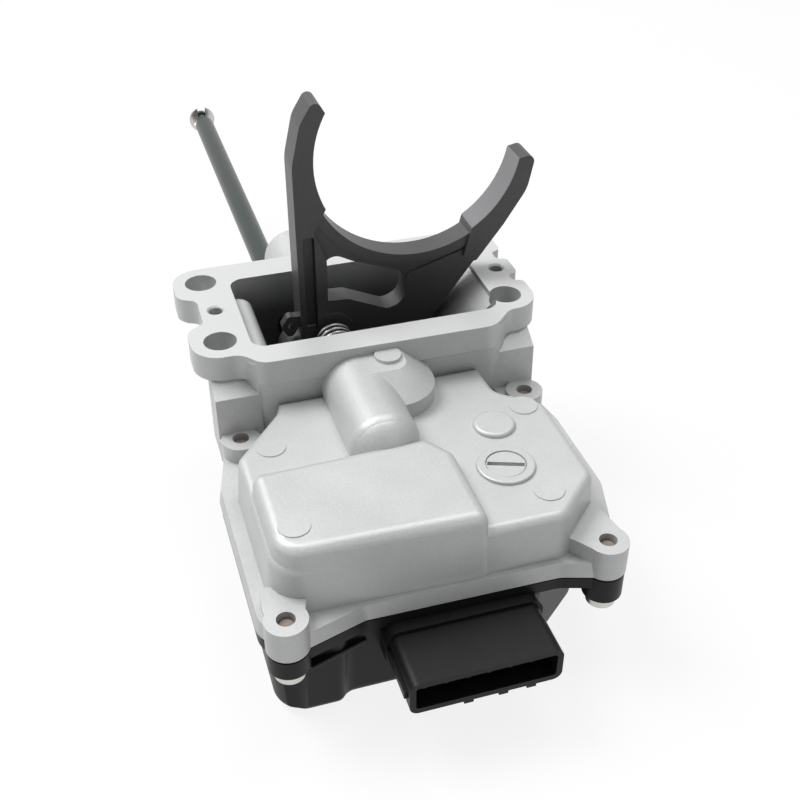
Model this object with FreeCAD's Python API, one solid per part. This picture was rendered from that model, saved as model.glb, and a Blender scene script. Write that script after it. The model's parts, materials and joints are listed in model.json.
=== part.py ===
import FreeCAD, Part
import math
import os

from FreeCAD import Vector

# Front-axle disconnect actuator for a four-wheel-drive differential.
# Millimetres. The origin is the centre of the four flange bolts, on the machined
# flange face. +Z points out of that face towards the axle, +X to the right along
# the flange, and the shift shaft lies along Y with its free end at +Y.

# Flange that bolts to the axle
bolt_dx = 91.0
bolt_dy = 35.5
bolt_hole_r = 5.0
ear_r = 8.9
flange_t = 9.0
flange_front_y = -33.0
flange_notch_x = -48.6
dowel_hole_r = 2.15
dowel_depth = 7.0
dowel_places = [(-43.8, 0.0), (48.8, -1.0)]
hole_chamfer = 0.6
flange_edge_cut = 0.8

# Fork chamber under the flange
chamber_x0 = -36.8
chamber_x1 = 41.3
chamber_y0 = -24.3
chamber_y1 = 16.6
chamber_corner_r = 4.5
chamber_floor_z = -30.4
chamber_wall = 4.2
lump_y0 = -18.3
ledge_x = -31.2
ledge_rear_y = 12.0
ledge_top_z = -3.2
ledge_round = 3.0

# Gear case, in front of the chamber
mating_z = -34.1
body_top_z = -15.0
body_wall = 2.5
body_draft = 1.2
body_left_x = -50.0
body_right_x = 45.0
body_front_y = -105.4
rim_t = 4.6
rim_proud = 2.6
box_top_z = -9.4
box_right_x = 9.6
box_back_y = -66.3
ejector_mark_r = 4.3
ejector_mark_h = 0.3
ejector_marks = [(37.0, -56.0), (29.2, -93.8), (-38.8, -53.4)]
box_mark = (-41.0, -93.4)
lobe_r = 12.8
lobe_shoulder_z = -10.0
lobe_top_z = -3.05
lobe_flat_r = 4.3
lobe_pad_r = 4.0
lobe_pad_h = 1.0
lobe_pad_dy = 2.9

# Cover ears, each with one screw from below
cover_ears = [(-47.7, -109.8), (41.4, -107.4), (-44.5, -34.5), (46.0, -36.4)]
cover_ear_r = 5.8
cover_ear_top_z = -24.4
cover_screw_r = 2.45
cover_screw_hole_r = 2.5
screw_head_r = 4.15
screw_head_h = 3.4
screw_star_w = 1.1
washer_r = 4.5
washer_t = 1.0
screw_tip_gap = 1.9

# Bottom cover with its connector
gasket_t = 0.8
cover_flange_t = 5.0
cover_ear_t = 5.8
deep_ear_t = 8.0
cover_wall = 2.4
cover_floor_z = -65.3
sump_draft = 1.4
sump_round = 3.2
pocket_r = screw_head_r + 1.0
connector_w = 42.0
connector_h = 11.0
connector_top_z = -38.6
connector_mouth_y = -128.0
connector_wall = 1.7
connector_depth = 15.0
connector_tabs = [-4.9, 4.7, 12.5]
key_rib_x = -16.8
key_rib_pitch = 5.8
key_rib_count = 6
terminal_count = 7
terminal_w = 1.5
terminal_t = 0.8
terminal_pitch = 5.4
terminal_inner_y = -100.6

# Circuit board, its screws and the motor's saddles
board_t = 1.6
board_top_z = -47.6
board_outline = [(-38.0, -65.5, 2.0), (40.0, -65.5, 2.0), (40.0, -42.5, 2.0), (-38.0, -42.5, 2.0)]
board_screws = [(-34.0, -47.0), (-34.0, -62.0), (36.0, -47.0), (36.0, -62.0)]
board_screw_r = 1.2
board_post_r = 2.8
saddle_places = [-32.5, -22.5]
saddle_t = 3.0
motor_pad_t = 1.5
lead_t = 0.5
lead_half_w = 15.0

# Shift shaft and fork
shift_x = -17.2
shift_z = -20.0
shift_r = 4.0
shift_front_y = -9.4
shift_tip_y = 201.4
shift_bush_wall = 1.2
shift_bush_y = (19.0, 41.0)
tip_neck_r = 2.4
tip_neck_length = 10.0
tip_head_length = 2.4
tip_head_r = 3.1
clip_r = 5.6
clip_t = 1.2
clip_bite_reach = 3.6
clip_bite_r = 1.0
stroke = 10.0
running_gap = 0.04
fork_front_y = -4.4
fork_pad_t = 10.0
fork_web_t = 6.4
fork_bore_x = 21.0
fork_bore_z = 45.4
fork_pad_r = 32.6
fork_web_r = 34.2
fork_hub_r = 6.8
fork_hub_front_y = -7.4
fork_lug_r = 8.0
fork_pin_r = 1.75
fork_pin_y = fork_front_y - 1.0 + fork_pad_t / 2
fork_eye_y = (-3.4, -0.4)
fork_eye_wall = 1.7

# Drive rod, its rack and its waiting springs
drive_x = -8.2
drive_z = -13.5
drive_r = 4.5
drive_front_y = -61.0
drive_rear_y = 37.5
bump_r = 10.5
bump_round_y = -62.3
bump_rim = (8.2, -66.8)
bump_end = (4.1, -70.2)
spring_wire = 1.3
spring_sides = 6
spring_mean_r = 5.5
spring_turns = 4.5
spring_front_y = -16.2
spring_seat_t = 1.2
snap_ring_r = 5.2
snap_ring_t = 1.0
seal_t = 2.0
seal_r = 8.0
rear_boss_y = 51.5
rear_boss_r = 10.4
shaft_boss_r = 7.4
shaft_boss_y = 42.0
ring_pocket_r = 5.6
ring_pocket_y = 18.2
guide_end_y = 43.0
plug_recess_r = 5.9
rear_plug_t = 2.4

# Gear train, all spur teeth of one module
module = 1.0
pressure_angle = math.radians(25.0)
backlash = 0.14
rack_offset = 3.2
output_teeth = 13
idler_small_teeth = 12
idler_large_teeth = 30
wheel_small_teeth = 15
worm_wheel_teeth = 30
output_y = -39.0
wheel_x = 25.3
wheel_y = -62.5
axle_r = 2.0
axle_gap = 0.03
gear_room = 0.7
output_z = (-21.9, -10.0)
idler_small_z = (-22.0, -18.6)
gear_mesh_z = (-26.6, -22.6)
worm_wheel_z = (-33.6, -27.6)
washer_gap = 0.1
idler_hub_z = -44.0
idler_window_reach = 9.6
idler_window_r = 2.6
idler_window_count = 5
brush_disc_r = 9.0
brush_disc_t = 1.2

# Worm and motor
worm_pitch_r = 5.0
worm_length = 15.0
worm_thread_backlash = 0.42
motor_r = 14.0
motor_x0 = -36.5
motor_x1 = 0.5
motor_wall = 1.1
motor_shaft_r = 1.6
bulkhead_t = 3.0
motor_boss_r = 4.0
motor_screw_r = 1.0
motor_screw_dy = 8.0
motor_bush_r = 3.0
magnet_t = 3.0
magnet_gap = 0.5
commutator_x = (motor_x0 + 1.0, motor_x0 + 6.0)
commutator_r = 3.4
worm_bush_t = 3.6

# Screwed access plug and the dome beside it
plug_x = 21.8
plug_y = -80.8
plug_r = 5.8
plug_ring_r = 8.3
plug_ring_h = 1.0
plug_ring_round = 0.6
plug_slot_w = 1.5
plug_slot_angle = -20.0
plug_depth = 4.6
plug_seal_z = (-3.1, -2.3)
dome_r = 6.2
dome_h = 1.3
dome_round = 1.1

# Worked-out places
thin = 0.3
output_x = drive_x + rack_offset + module * output_teeth / 2
gear_top_z = body_top_z - body_wall
idler_reach = module * (idler_small_teeth + output_teeth) / 2
wheel_reach = module * (wheel_small_teeth + idler_large_teeth) / 2
worm_wheel_r = module * worm_wheel_teeth / 2
worm_z = (worm_wheel_z[0] + worm_wheel_z[1]) / 2
worm_y = wheel_y - worm_wheel_r - worm_pitch_r
cover_top_z = mating_z - gasket_t
cover_flange_z = cover_top_z - cover_flange_t
shift_bush_r = shift_r + shift_bush_wall
pillar_y = flange_front_y + 2.0
connector_z = connector_top_z - connector_h / 2
connector_back_y = connector_mouth_y + connector_depth
wheel_end_z = worm_wheel_z[0] - 1.8
idler_end_z = idler_hub_z - brush_disc_t - 1.2
lug_rear_y = fork_front_y + fork_pad_t
rear_ring_y = lug_rear_y + 0.15
front_ring_y = spring_front_y - spring_seat_t - snap_ring_t


def idler_place():
    """Centre of the idler, in mesh with the output pinion and the wheel pinion."""
    dx = wheel_x - output_x
    dy = wheel_y - output_y
    span = math.hypot(dx, dy)
    cosine = (idler_reach ** 2 + span ** 2 - wheel_reach ** 2) / (2 * idler_reach * span)
    angle = math.atan2(dy, dx) - math.acos(cosine)
    return output_x + idler_reach * math.cos(angle), output_y + idler_reach * math.sin(angle)


idler_x, idler_y = idler_place()


def inset_corners(corners, inset):
    """Corners (x, y, radius) of a loop moved inwards by inset; the loop runs anticlockwise."""
    count = len(corners)
    moved = []
    for i in range(count):
        x0, y0, _ = corners[i - 1]
        x1, y1, radius = corners[i]
        x2, y2, _ = corners[(i + 1) % count]
        a = Vector(x1 - x0, y1 - y0, 0).normalize()
        b = Vector(x2 - x1, y2 - y1, 0).normalize()
        turn = a.x * b.y - a.y * b.x
        normal_a = Vector(-a.y, a.x, 0)
        normal_b = Vector(-b.y, b.x, 0)
        shift = (normal_a + normal_b) * (inset / (1 + normal_a.dot(normal_b)))
        new_radius = radius - inset if turn > 0 else radius + inset
        moved.append((x1 + shift.x, y1 + shift.y, max(new_radius, thin) if radius else 0))
    return moved


def rounded_wire(corners, z, inset=0.0):
    """Closed wire at height z through corners (x, y, radius), each rounded by its radius."""
    points = inset_corners(corners, inset)
    count = len(points)
    edges = []
    spans = []
    for i in range(count):
        x0, y0, _ = points[i - 1]
        x1, y1, radius = points[i]
        x2, y2, _ = points[(i + 1) % count]
        back = Vector(x0 - x1, y0 - y1, 0).normalize()
        ahead = Vector(x2 - x1, y2 - y1, 0).normalize()
        corner = Vector(x1, y1, z)
        if radius <= 0:
            spans.append((corner, None, corner))
            continue
        half = math.acos(max(-1.0, min(1.0, back.dot(ahead)))) / 2
        cut = radius / math.tan(half)
        middle = (back + ahead).normalize()
        centre = corner + middle * (radius / math.sin(half))
        spans.append((corner + back * cut, centre - middle * radius, corner + ahead * cut))
    for i in range(count):
        start, middle, end = spans[i]
        if middle is not None:
            edges.append(Part.Arc(start, middle, end).toShape())
        following = spans[(i + 1) % count][0]
        if end.distanceToPoint(following) > 1e-6:
            edges.append(Part.LineSegment(end, following).toShape())
    return Part.Wire(edges)


def prism(corners, z0, z1, inset=0.0):
    """Upright prism between two heights."""
    face = Part.Face(rounded_wire(corners, z0, inset))
    return face.extrude(Vector(0, 0, z1 - z0))


def tapered(corners, z0, z1, draft, inset=0.0):
    """Prism whose outline shrinks by draft from z0 to z1."""
    low = rounded_wire(corners, z0, inset)
    high = rounded_wire(corners, z1, inset + draft)
    return Part.makeLoft([low, high], True, True)


def block(x0, x1, y0, y1, z0, z1):
    """Rectangular block between the given coordinates."""
    return Part.makeBox(x1 - x0, y1 - y0, z1 - z0, Vector(x0, y0, z0))


def post(x, y, radius, z0, z1):
    """Upright cylinder."""
    return Part.makeCylinder(radius, z1 - z0, Vector(x, y, z0))


def along_y(x, z, radius, y0, y1):
    """Cylinder along Y."""
    return Part.makeCylinder(radius, y1 - y0, Vector(x, y0, z), Vector(0, 1, 0))


def along_x(y, z, radius, x0, x1):
    """Cylinder along X."""
    return Part.makeCylinder(radius, x1 - x0, Vector(x0, y, z), Vector(1, 0, 0))


def cone_y(x, z, r0, r1, y0, y1):
    """Cone along Y, from radius r0 at y0 to radius r1 at y1."""
    return Part.makeCone(r0, r1, y1 - y0, Vector(x, y0, z), Vector(0, 1, 0))


def section_y(corners, y0, y1, inset=0.0):
    """Prism along Y from a loop of (x, z, radius) corners."""
    shape = prism(corners, -y1, -y0, inset)
    shape.rotate(Vector(0, 0, 0), Vector(1, 0, 0), 90)
    return shape


def section_x(corners, x0, x1):
    """Prism along X from a loop of (y, z, radius) corners."""
    shape = prism(corners, x0, x1)
    shape.rotate(Vector(0, 0, 0), Vector(1, 1, 1), 120)
    return shape


def joined(*shapes):
    """One solid from several that touch."""
    result = shapes[0].multiFuse(list(shapes[1:])) if len(shapes) > 1 else shapes[0]
    return result.removeSplitter()


def without(shape, *tools):
    """Shape with the tools cut away."""
    return shape.cut(list(tools))


def ring_y(x, z, outer, inner, y0, y1):
    """Flat ring or tube along Y."""
    return without(along_y(x, z, outer, y0, y1), along_y(x, z, inner, y0 - 1, y1 + 1))


def ring_x(y, z, outer, inner, x0, x1):
    """Flat ring or tube along X."""
    return without(along_x(y, z, outer, x0, x1), along_x(y, z, inner, x0 - 1, x1 + 1))


def ring_z(x, y, outer, inner, z0, z1):
    """Flat ring or tube along Z."""
    return without(post(x, y, outer, z0, z1), post(x, y, inner, z0 - 1, z1 + 1))


def together(shapes):
    """Separate solids kept in one node."""
    return Part.makeCompound(shapes)


def edges_near(shape, test):
    """Edges whose middle point passes a test."""
    found = []
    for edge in shape.Edges:
        middle = edge.valueAt((edge.FirstParameter + edge.LastParameter) / 2)
        if test(edge, middle):
            found.append(edge)
    return found


def flat_edge(edge, z):
    """Whether an edge lies at one height."""
    return abs(edge.BoundBox.ZMin - z) < 1e-4 and abs(edge.BoundBox.ZMax - z) < 1e-4


nodes = {}


def keep(name, shape):
    """Store one finished sub-part under its node name."""
    nodes[name] = shape


# Outlines seen from above, anticlockwise

half_bx = bolt_dx / 2
half_by = bolt_dy / 2
ear_x = half_bx + ear_r
ear_y = half_by + ear_r

flange_outline = [
    (-ear_x, -ear_y, ear_r - thin), (-41.0, -ear_y, 6.0), (-36.0, flange_front_y, 6.0),
    (36.0, flange_front_y - 1.0, 7.0), (43.5, -ear_y, 5.0), (ear_x, -ear_y, ear_r - thin),
    (ear_x, -11.2, 2.0), (51.0, -10.0, 1.5), (51.0, -6.6, 1.5), (ear_x, -5.6, 2.0),
    (ear_x, 3.6, 2.0), (51.0, 4.8, 1.5), (51.0, 9.0, 1.5), (ear_x, 10.2, 2.0),
    (ear_x, ear_y, ear_r - thin), (-ear_x, ear_y, ear_r - thin),
    (-ear_x, 9.6, 5.0), (flange_notch_x, 7.0, 3.0), (flange_notch_x, -7.0, 3.0),
    (-ear_x, -9.6, 5.0),
]

opening_outline = [
    (chamber_x0, chamber_y0, chamber_corner_r), (chamber_x1, chamber_y0, chamber_corner_r),
    (chamber_x1, chamber_y1, chamber_corner_r), (chamber_x0, chamber_y1, chamber_corner_r),
]

body_outline = [
    (-33.0, flange_front_y + 1.5, 0), (-34.5, -36.2, 2.5), (body_left_x, -55.0, 6.0),
    (body_left_x, body_front_y + 0.6, 10.0), (body_right_x - 14.5, body_front_y, 7.0),
    (body_right_x, -91.0, 6.0), (body_right_x, -54.5, 7.0), (33.0, -45.2, 6.0),
    (32.4, flange_front_y + 1.5, 0),
]

box_outline = [
    (body_left_x + 1.0, box_back_y - 1.4, 5.0), (body_left_x + 1.0, body_front_y + 1.2, 9.5),
    (box_right_x, body_front_y - 0.6, 4.0), (box_right_x, -75.5, 5.0),
    (box_right_x - 6.0, box_back_y, 5.0),
]

rim_outline = [
    (-49.5, -29.5, 3.0), (-54.6, -50.0, 12.0), (-54.6, -106.0, 8.0), (-43.5, -112.5, 3.0),
    (-26.5, body_front_y - rim_proud + 0.6, 4.0), (28.0, body_front_y - rim_proud, 8.0),
    (39.0, -111.5, 3.0), (46.5, -104.5, 3.0), (53.6, -80.0, 12.0), (53.6, -48.0, 12.0),
    (50.5, -29.5, 3.0),
]


sump_outline = [
    (-50.5, -37.5, 7.0), (-52.2, -60.0, 12.0), (-52.2, -108.6, 10.0), (-33.0, -108.6, 4.0),
    (-30.5, -106.0, 3.0), (23.0, -106.0, 5.0), (43.0, -89.0, 8.0), (50.0, -76.0, 8.0),
    (50.0, -37.5, 8.0),
]


# Gear housing: flange, fork chamber and gear case in one casting

def housing_flange():
    """Machined flange with its four bolt ears."""
    plate = prism(flange_outline, -flange_t, 0)
    lower = edges_near(plate, lambda e, m: flat_edge(e, -flange_t))
    return plate.makeChamfer(flange_edge_cut, lower)


def housing_chamber():
    """Outer shell of the fork chamber."""
    outline = [
        (chamber_x0 - chamber_wall, flange_front_y, 9.0),
        (chamber_x1 + chamber_wall - 3.0, flange_front_y, 9.0),
        (chamber_x1 + chamber_wall, chamber_y1 + chamber_wall, 8.0),
        (chamber_x0 - chamber_wall, chamber_y1 + chamber_wall, 8.0),
    ]
    return tapered(outline, -1.5, mating_z, 1.4)


def housing_pillars():
    """Two pillars between the front flange ears and the rear cover ears."""
    pillars = []
    for x0, x1 in ((-50.4, chamber_x0), (chamber_x1 - 4.0, 50.6)):
        profile = [
            Vector(x0, -18.0, -flange_t + 0.5), Vector(x0, -ear_y + 1.5, -flange_t + 0.5),
            Vector(x0, pillar_y, -flange_t - 3.2), Vector(x0, pillar_y - 0.6, mating_z),
            Vector(x0, -18.0, mating_z),
        ]
        face = Part.Face(Part.makePolygon(profile + [profile[0]]))
        pillars.append(face.extrude(Vector(x1 - x0, 0, 0)))
    return pillars


def housing_body():
    """Gear case: flat top, raised motor box, rod bump, pinion lobe and rim."""
    case = tapered(body_outline, mating_z + rim_t - 1.0, body_top_z, body_draft)
    top = edges_near(case, lambda e, m: flat_edge(e, body_top_z))
    case = case.makeFillet(2.6, top)
    box = tapered(box_outline, mating_z + rim_t, box_top_z, body_draft + 0.4)
    box = box.makeFillet(3.4, edges_near(box, lambda e, m: flat_edge(e, box_top_z)))
    rim = tapered(rim_outline, mating_z, mating_z + rim_t, 0.8)
    return joined(case, box, rod_bump(), *pinion_lobe(), rim)


def rod_bump():
    """Half-round bump over the drive rod, with a scooped end on the motor box."""
    back_y = flange_front_y + 3
    corners = [(0, back_y), (0, bump_end[1]), bump_end, bump_rim, (bump_r, bump_round_y),
               (bump_r, back_y)]
    points = [Vector(drive_x + r, y, drive_z) for r, y in corners]
    scoop = Vector(drive_x + bump_end[0] + 1.3, bump_rim[1] - 0.9, drive_z)
    shoulder = Vector(drive_x + bump_r - 0.6, (bump_rim[1] + bump_round_y) / 2 - 0.4, drive_z)
    wire = Part.Wire([
        Part.LineSegment(points[0], points[1]).toShape(),
        Part.LineSegment(points[1], points[2]).toShape(),
        Part.Arc(points[2], scoop, points[3]).toShape(),
        Part.Arc(points[3], shoulder, points[4]).toShape(),
        Part.LineSegment(points[4], points[5]).toShape(),
        Part.LineSegment(points[5], points[0]).toShape(),
    ])
    return Part.Face(wire).revolve(points[0], Vector(0, 1, 0), 360)


def pinion_lobe():
    """Lobe over the output pinion: cone, the slope that ties it to the bump, and its pad."""
    base_z = body_top_z - 0.6
    back_y = flange_front_y + 3
    wall = post(output_x, output_y, lobe_r, base_z, lobe_shoulder_z)
    cone = Part.makeCone(lobe_r, lobe_flat_r, lobe_top_z - lobe_shoulder_z,
                         Vector(output_x, output_y, lobe_shoulder_z))
    front_y = output_y - lobe_r
    slope = section_x([(front_y, base_z, 0), (back_y, base_z, 0), (back_y, lobe_top_z, 0),
                       (output_y - lobe_flat_r, lobe_top_z, 0), (front_y, lobe_shoulder_z, 0)],
                      drive_x, output_x)
    side_x = output_x + lobe_r
    rear = section_y([(drive_x, base_z, 0), (side_x, base_z, 0), (side_x, lobe_shoulder_z, 0),
                      (output_x + lobe_flat_r, lobe_top_z, 0), (drive_x, lobe_top_z, 0)],
                     output_y, back_y)
    pad = post(output_x - 0.4, output_y + lobe_pad_dy, lobe_pad_r, lobe_top_z - 1.0,
               lobe_top_z + lobe_pad_h)
    return [wall, cone, slope, rear, pad]


def housing_ears():
    """Raised cover ears with the webs that tie the front pair to the case."""
    bosses = [post(x, y, cover_ear_r, mating_z, cover_ear_top_z) for x, y in cover_ears]
    left = [(-52.0, -97.0, 1.0), (-53.0, -108.5, 4.0), (-43.2, -111.0, 2.0), (-40.2, -101.0, 1.0)]
    right = [(31.0, -102.5, 1.0), (37.5, -111.5, 3.0), (46.8, -106.5, 3.5), (43.5, -89.5, 1.0)]
    back_left = [(-50.4, -28.5, 1.0), (-50.2, -37.0, 3.5), (-39.5, -40.5, 3.0), (-37.0, -29.0, 1.0)]
    back_right = [(37.4, -29.0, 1.0), (39.5, -42.0, 3.0), (51.0, -39.0, 3.5), (50.6, -28.5, 1.0)]
    webs = [prism(outline, mating_z, cover_ear_top_z) for outline in (left, right)]
    webs += [prism(outline, mating_z, cover_ear_top_z - 1.4) for outline in (back_left, back_right)]
    return bosses + webs


def housing_rear_bosses():
    """Drive-rod boss and shift-shaft boss behind the chamber, with a rib below."""
    drive = along_y(drive_x, drive_z, rear_boss_r, chamber_y1, rear_boss_y)
    drive = drive.makeChamfer(1.0, edges_near(drive, lambda e, m: m.y > rear_boss_y - 0.1))
    shaft = along_y(shift_x, shift_z, shaft_boss_r, chamber_y1, shaft_boss_y)
    rib = Part.Face(Part.makePolygon([
        Vector(shift_x - 1.5, chamber_y1, shift_z), Vector(shift_x - 1.5, shaft_boss_y - 3, shift_z),
        Vector(shift_x - 1.5, shaft_boss_y - 3, shift_z - shaft_boss_r - 1.2),
        Vector(shift_x - 1.5, chamber_y1, mating_z),
        Vector(shift_x - 1.5, chamber_y1, shift_z)])).extrude(Vector(3.0, 0, 0))
    return [drive, shaft, rib]


def housing_cavities():
    """What is hollow in the casting: chamber, gear space, bores and pockets."""
    chamber = prism(opening_outline, chamber_floor_z, 1.0)
    gear_space = prism(body_outline, mating_z - 1, gear_top_z, body_wall + body_draft)
    keep_back = block(-60, 60, flange_front_y, chamber_y0, mating_z - 2, 0)
    gear_space = without(gear_space, keep_back)
    motor_space = prism(box_outline, mating_z - 1, box_top_z - body_wall, body_wall + 1.6)
    pinion_space = post(output_x, output_y, 8.2, mating_z - 1, body_top_z + 7.2)
    rack_space = along_y(drive_x, drive_z, 7.4, -62.6, flange_front_y)
    rod_bore = along_y(drive_x, drive_z, drive_r + running_gap, flange_front_y - 1, guide_end_y + 1)
    seal_pocket = along_y(drive_x, drive_z, seal_r, chamber_y0 - seal_t, chamber_y0 + 1)
    ring_pocket = along_y(drive_x, drive_z, ring_pocket_r, chamber_y1 - 1, ring_pocket_y)
    plug_recess = along_y(drive_x, drive_z, plug_recess_r, guide_end_y, rear_boss_y + 1)
    rod_passage = along_y(shift_x, shift_z, shift_r + 0.5, chamber_y1 - 1, shift_bush_y[0])
    bush_bore = along_y(shift_x, shift_z, shift_bush_r, shift_bush_y[0], shaft_boss_y)
    shaft_room = along_y(shift_x, shift_z, shift_r + thin, shaft_boss_y - 1, rear_boss_y + 1)
    wheel_room = post(wheel_x, wheel_y, worm_wheel_r + module + gear_room, mating_z - 1,
                      worm_wheel_z[1] + gear_room)
    idler_room = post(idler_x, idler_y, module * (idler_large_teeth / 2 + 1) + gear_room,
                      mating_z - 1, gear_mesh_z[1] + gear_room)
    return [chamber, gear_space, motor_space, pinion_space, rack_space, rod_bore, seal_pocket,
            ring_pocket, plug_recess, rod_passage, bush_bore, shaft_room, wheel_room,
            idler_room]


def housing_inside():
    """Bosses and webs inside the gear case that carry the axles, motor and worm end."""
    wheel_boss = post(wheel_x, wheel_y, 4.6, gear_mesh_z[1] + 0.9, gear_top_z + 1)
    idler_boss = post(idler_x, idler_y, 3.6, idler_small_z[1] + 0.3, gear_top_z + 1)
    output_boss = post(output_x, output_y, 3.6, output_z[1] + 0.3, body_top_z + 8)
    bulkhead = block(motor_x1, motor_x1 + bulkhead_t, worm_y - 13, worm_y + 12,
                     worm_z - 7, gear_top_z + 1)
    passages = [along_x(worm_y, worm_z, motor_boss_r + 0.2, motor_x1 - 1, motor_x1 + 5)]
    passages += [along_x(worm_y + sy * motor_screw_dy, worm_z, motor_screw_r, motor_x1 - 1,
                         motor_x1 + 5) for sy in (-1, 1)]
    bulkhead = without(bulkhead, *passages)
    end_post = block(body_right_x - 8.5, body_right_x - 3.0, worm_y - 5, worm_y + 5,
                     mating_z + 0.2, gear_top_z + 1)
    end_post = without(end_post, along_x(worm_y, worm_z, motor_shaft_r + 1.4,
                                         body_right_x - 9, body_right_x - 4.4))
    return [wheel_boss, idler_boss, output_boss, bulkhead, end_post]


def cylinder_lump():
    """Rounded lump on the right of the chamber, over the axle's bearing bore."""
    lump = section_y([(18.0, -31.0, 0), (chamber_x1 + 1, -31.0, 0), (chamber_x1 + 1, -1.0, 0),
                      (36.0, -6.5, 8.0), (26.5, -17.0, 9.0), (19.0, -24.5, 5.0)],
                     lump_y0, chamber_y1 + 1)
    limit = block(chamber_x0, chamber_x1 + 1, chamber_y0, chamber_y1 + 1, chamber_floor_z - 1, -1.5)
    return lump.common(limit)


def chamber_ledge():
    """Rounded ledge along the chamber's left wall."""
    outline = [(chamber_x0 - 5, chamber_y0 - 5, 0), (ledge_x, chamber_y0 - 5, 0),
               (ledge_x, ledge_rear_y, 4.5), (chamber_x0 - 5, ledge_rear_y, 0)]
    ledge = prism(outline, chamber_floor_z, ledge_top_z)
    inner = edges_near(ledge, lambda e, m: flat_edge(e, ledge_top_z) and m.x > chamber_x0 - 4
                       and m.y > chamber_y0 - 4)
    return ledge.makeFillet(ledge_round, inner)


def build_housing():
    """The whole casting."""
    shell = joined(housing_flange(), housing_chamber(), *housing_pillars())
    shell = joined(shell, housing_body(), *housing_ears())
    shell = joined(shell, *housing_rear_bosses())
    shell = without(shell, *housing_cavities())
    shell = joined(shell, *housing_inside())
    opening = prism(opening_outline, chamber_floor_z, 1.0)
    inner = [piece.common(opening) for piece in (chamber_ledge(), cylinder_lump())]
    shell = joined(shell, *inner)
    holes = []
    for sx in (-1, 1):
        for sy in (-1, 1):
            holes.append(post(sx * half_bx, sy * half_by, bolt_hole_r, -flange_t - 1, 1))
    for x, y in dowel_places:
        holes.append(post(x, y, dowel_hole_r, -dowel_depth, 0.1))
        holes.append(Part.makeCone(dowel_hole_r, dowel_hole_r + hole_chamfer, hole_chamfer,
                                   Vector(x, y, -hole_chamfer)))
    holes += [post(x, y, cover_screw_hole_r, mating_z - 1, cover_ear_top_z + 1)
              for x, y in cover_ears]
    bores = [
        along_y(drive_x, drive_z, drive_r + running_gap, flange_front_y - 1, chamber_y0),
        post(wheel_x, wheel_y, axle_r, gear_mesh_z[1], gear_top_z + 2),
        post(idler_x, idler_y, axle_r, idler_small_z[1], gear_top_z + 1.5),
        post(output_x, output_y, axle_r, output_z[1], output_z[1] + 4),
        post(plug_x, plug_y, plug_r + 0.02, gear_top_z - 1, body_top_z + 2),
    ]
    ring_top = body_top_z + plug_ring_h
    ring = post(plug_x, plug_y, plug_ring_r, body_top_z - 1, ring_top)
    ring = ring.makeFillet(plug_ring_round, edges_near(ring, lambda e, m: flat_edge(e, ring_top)))
    dome_top = body_top_z + dome_h
    dome = post(wheel_x, wheel_y, dome_r, body_top_z - 1, dome_top)
    dome = dome.makeFillet(dome_round, edges_near(dome, lambda e, m: flat_edge(e, dome_top)))
    marks = [post(x, y, ejector_mark_r, body_top_z - 1, body_top_z + ejector_mark_h)
             for x, y in ejector_marks]
    marks.append(post(box_mark[0], box_mark[1], ejector_mark_r,
                      box_top_z - 1, box_top_z + ejector_mark_h))
    shell = joined(shell, ring, dome, *marks)
    return without(shell, *(holes + bores))


# Bottom cover, moulded in one piece with the connector shroud

def ear_bottom(place):
    """Height of the underside of a cover ear; the front right one reaches deeper."""
    return cover_top_z - (deep_ear_t if place == cover_ears[1] else cover_ear_t)


def connector_loop(inset):
    """Cross-section of the connector shroud, as (x, z, radius) corners."""
    half_w = connector_w / 2 - inset
    half_h = connector_h / 2 - inset
    r = max(2.6 - inset, 0.6)
    return [(-half_w, connector_z - half_h, r), (half_w, connector_z - half_h, r),
            (half_w, connector_z + half_h, r), (-half_w, connector_z + half_h, r)]


def terminal_places():
    """X of each connector blade."""
    return [(i - (terminal_count - 1) / 2) * terminal_pitch for i in range(terminal_count)]


def terminal_blades():
    """Connector blades, from just inside the mouth through the cover wall."""
    return [block(x - terminal_w / 2, x + terminal_w / 2, connector_mouth_y + 3.5, terminal_inner_y,
                  connector_z - terminal_t / 2, connector_z + terminal_t / 2)
            for x in terminal_places()]


def connector_shroud():
    """Open-mouthed shroud with key ribs inside, catch tabs below and a rail at each side."""
    wall_y = body_front_y + 2
    shroud = section_y(connector_loop(0), connector_mouth_y, wall_y)
    collar = section_y(connector_loop(-1.2), -111.0, wall_y)
    rails = [block(sx * connector_w / 2 - 0.9, sx * connector_w / 2 + 0.9, connector_mouth_y + 2.0,
                   wall_y, connector_z - 1.1, connector_z + 1.1) for sx in (-1, 1)]
    tabs = [block(x - 1.3, x + 1.3, connector_mouth_y, connector_mouth_y + 3.2,
                  connector_z - connector_h / 2 - 0.9, connector_z - connector_h / 2 + 0.4)
            for x in connector_tabs]
    shroud = joined(shroud, collar, *(rails + tabs))
    socket = section_y(connector_loop(connector_wall), connector_mouth_y - 1, connector_back_y)
    shroud = without(shroud, socket)
    rib_top = connector_z + connector_h / 2 - connector_wall
    ribs = [block(x - 0.45, x + 0.45, connector_mouth_y + 0.6, connector_back_y,
                  rib_top - 1.0, rib_top + 0.3)
            for x in [key_rib_x + i * key_rib_pitch for i in range(key_rib_count)]]
    return joined(shroud, *ribs)


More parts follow.
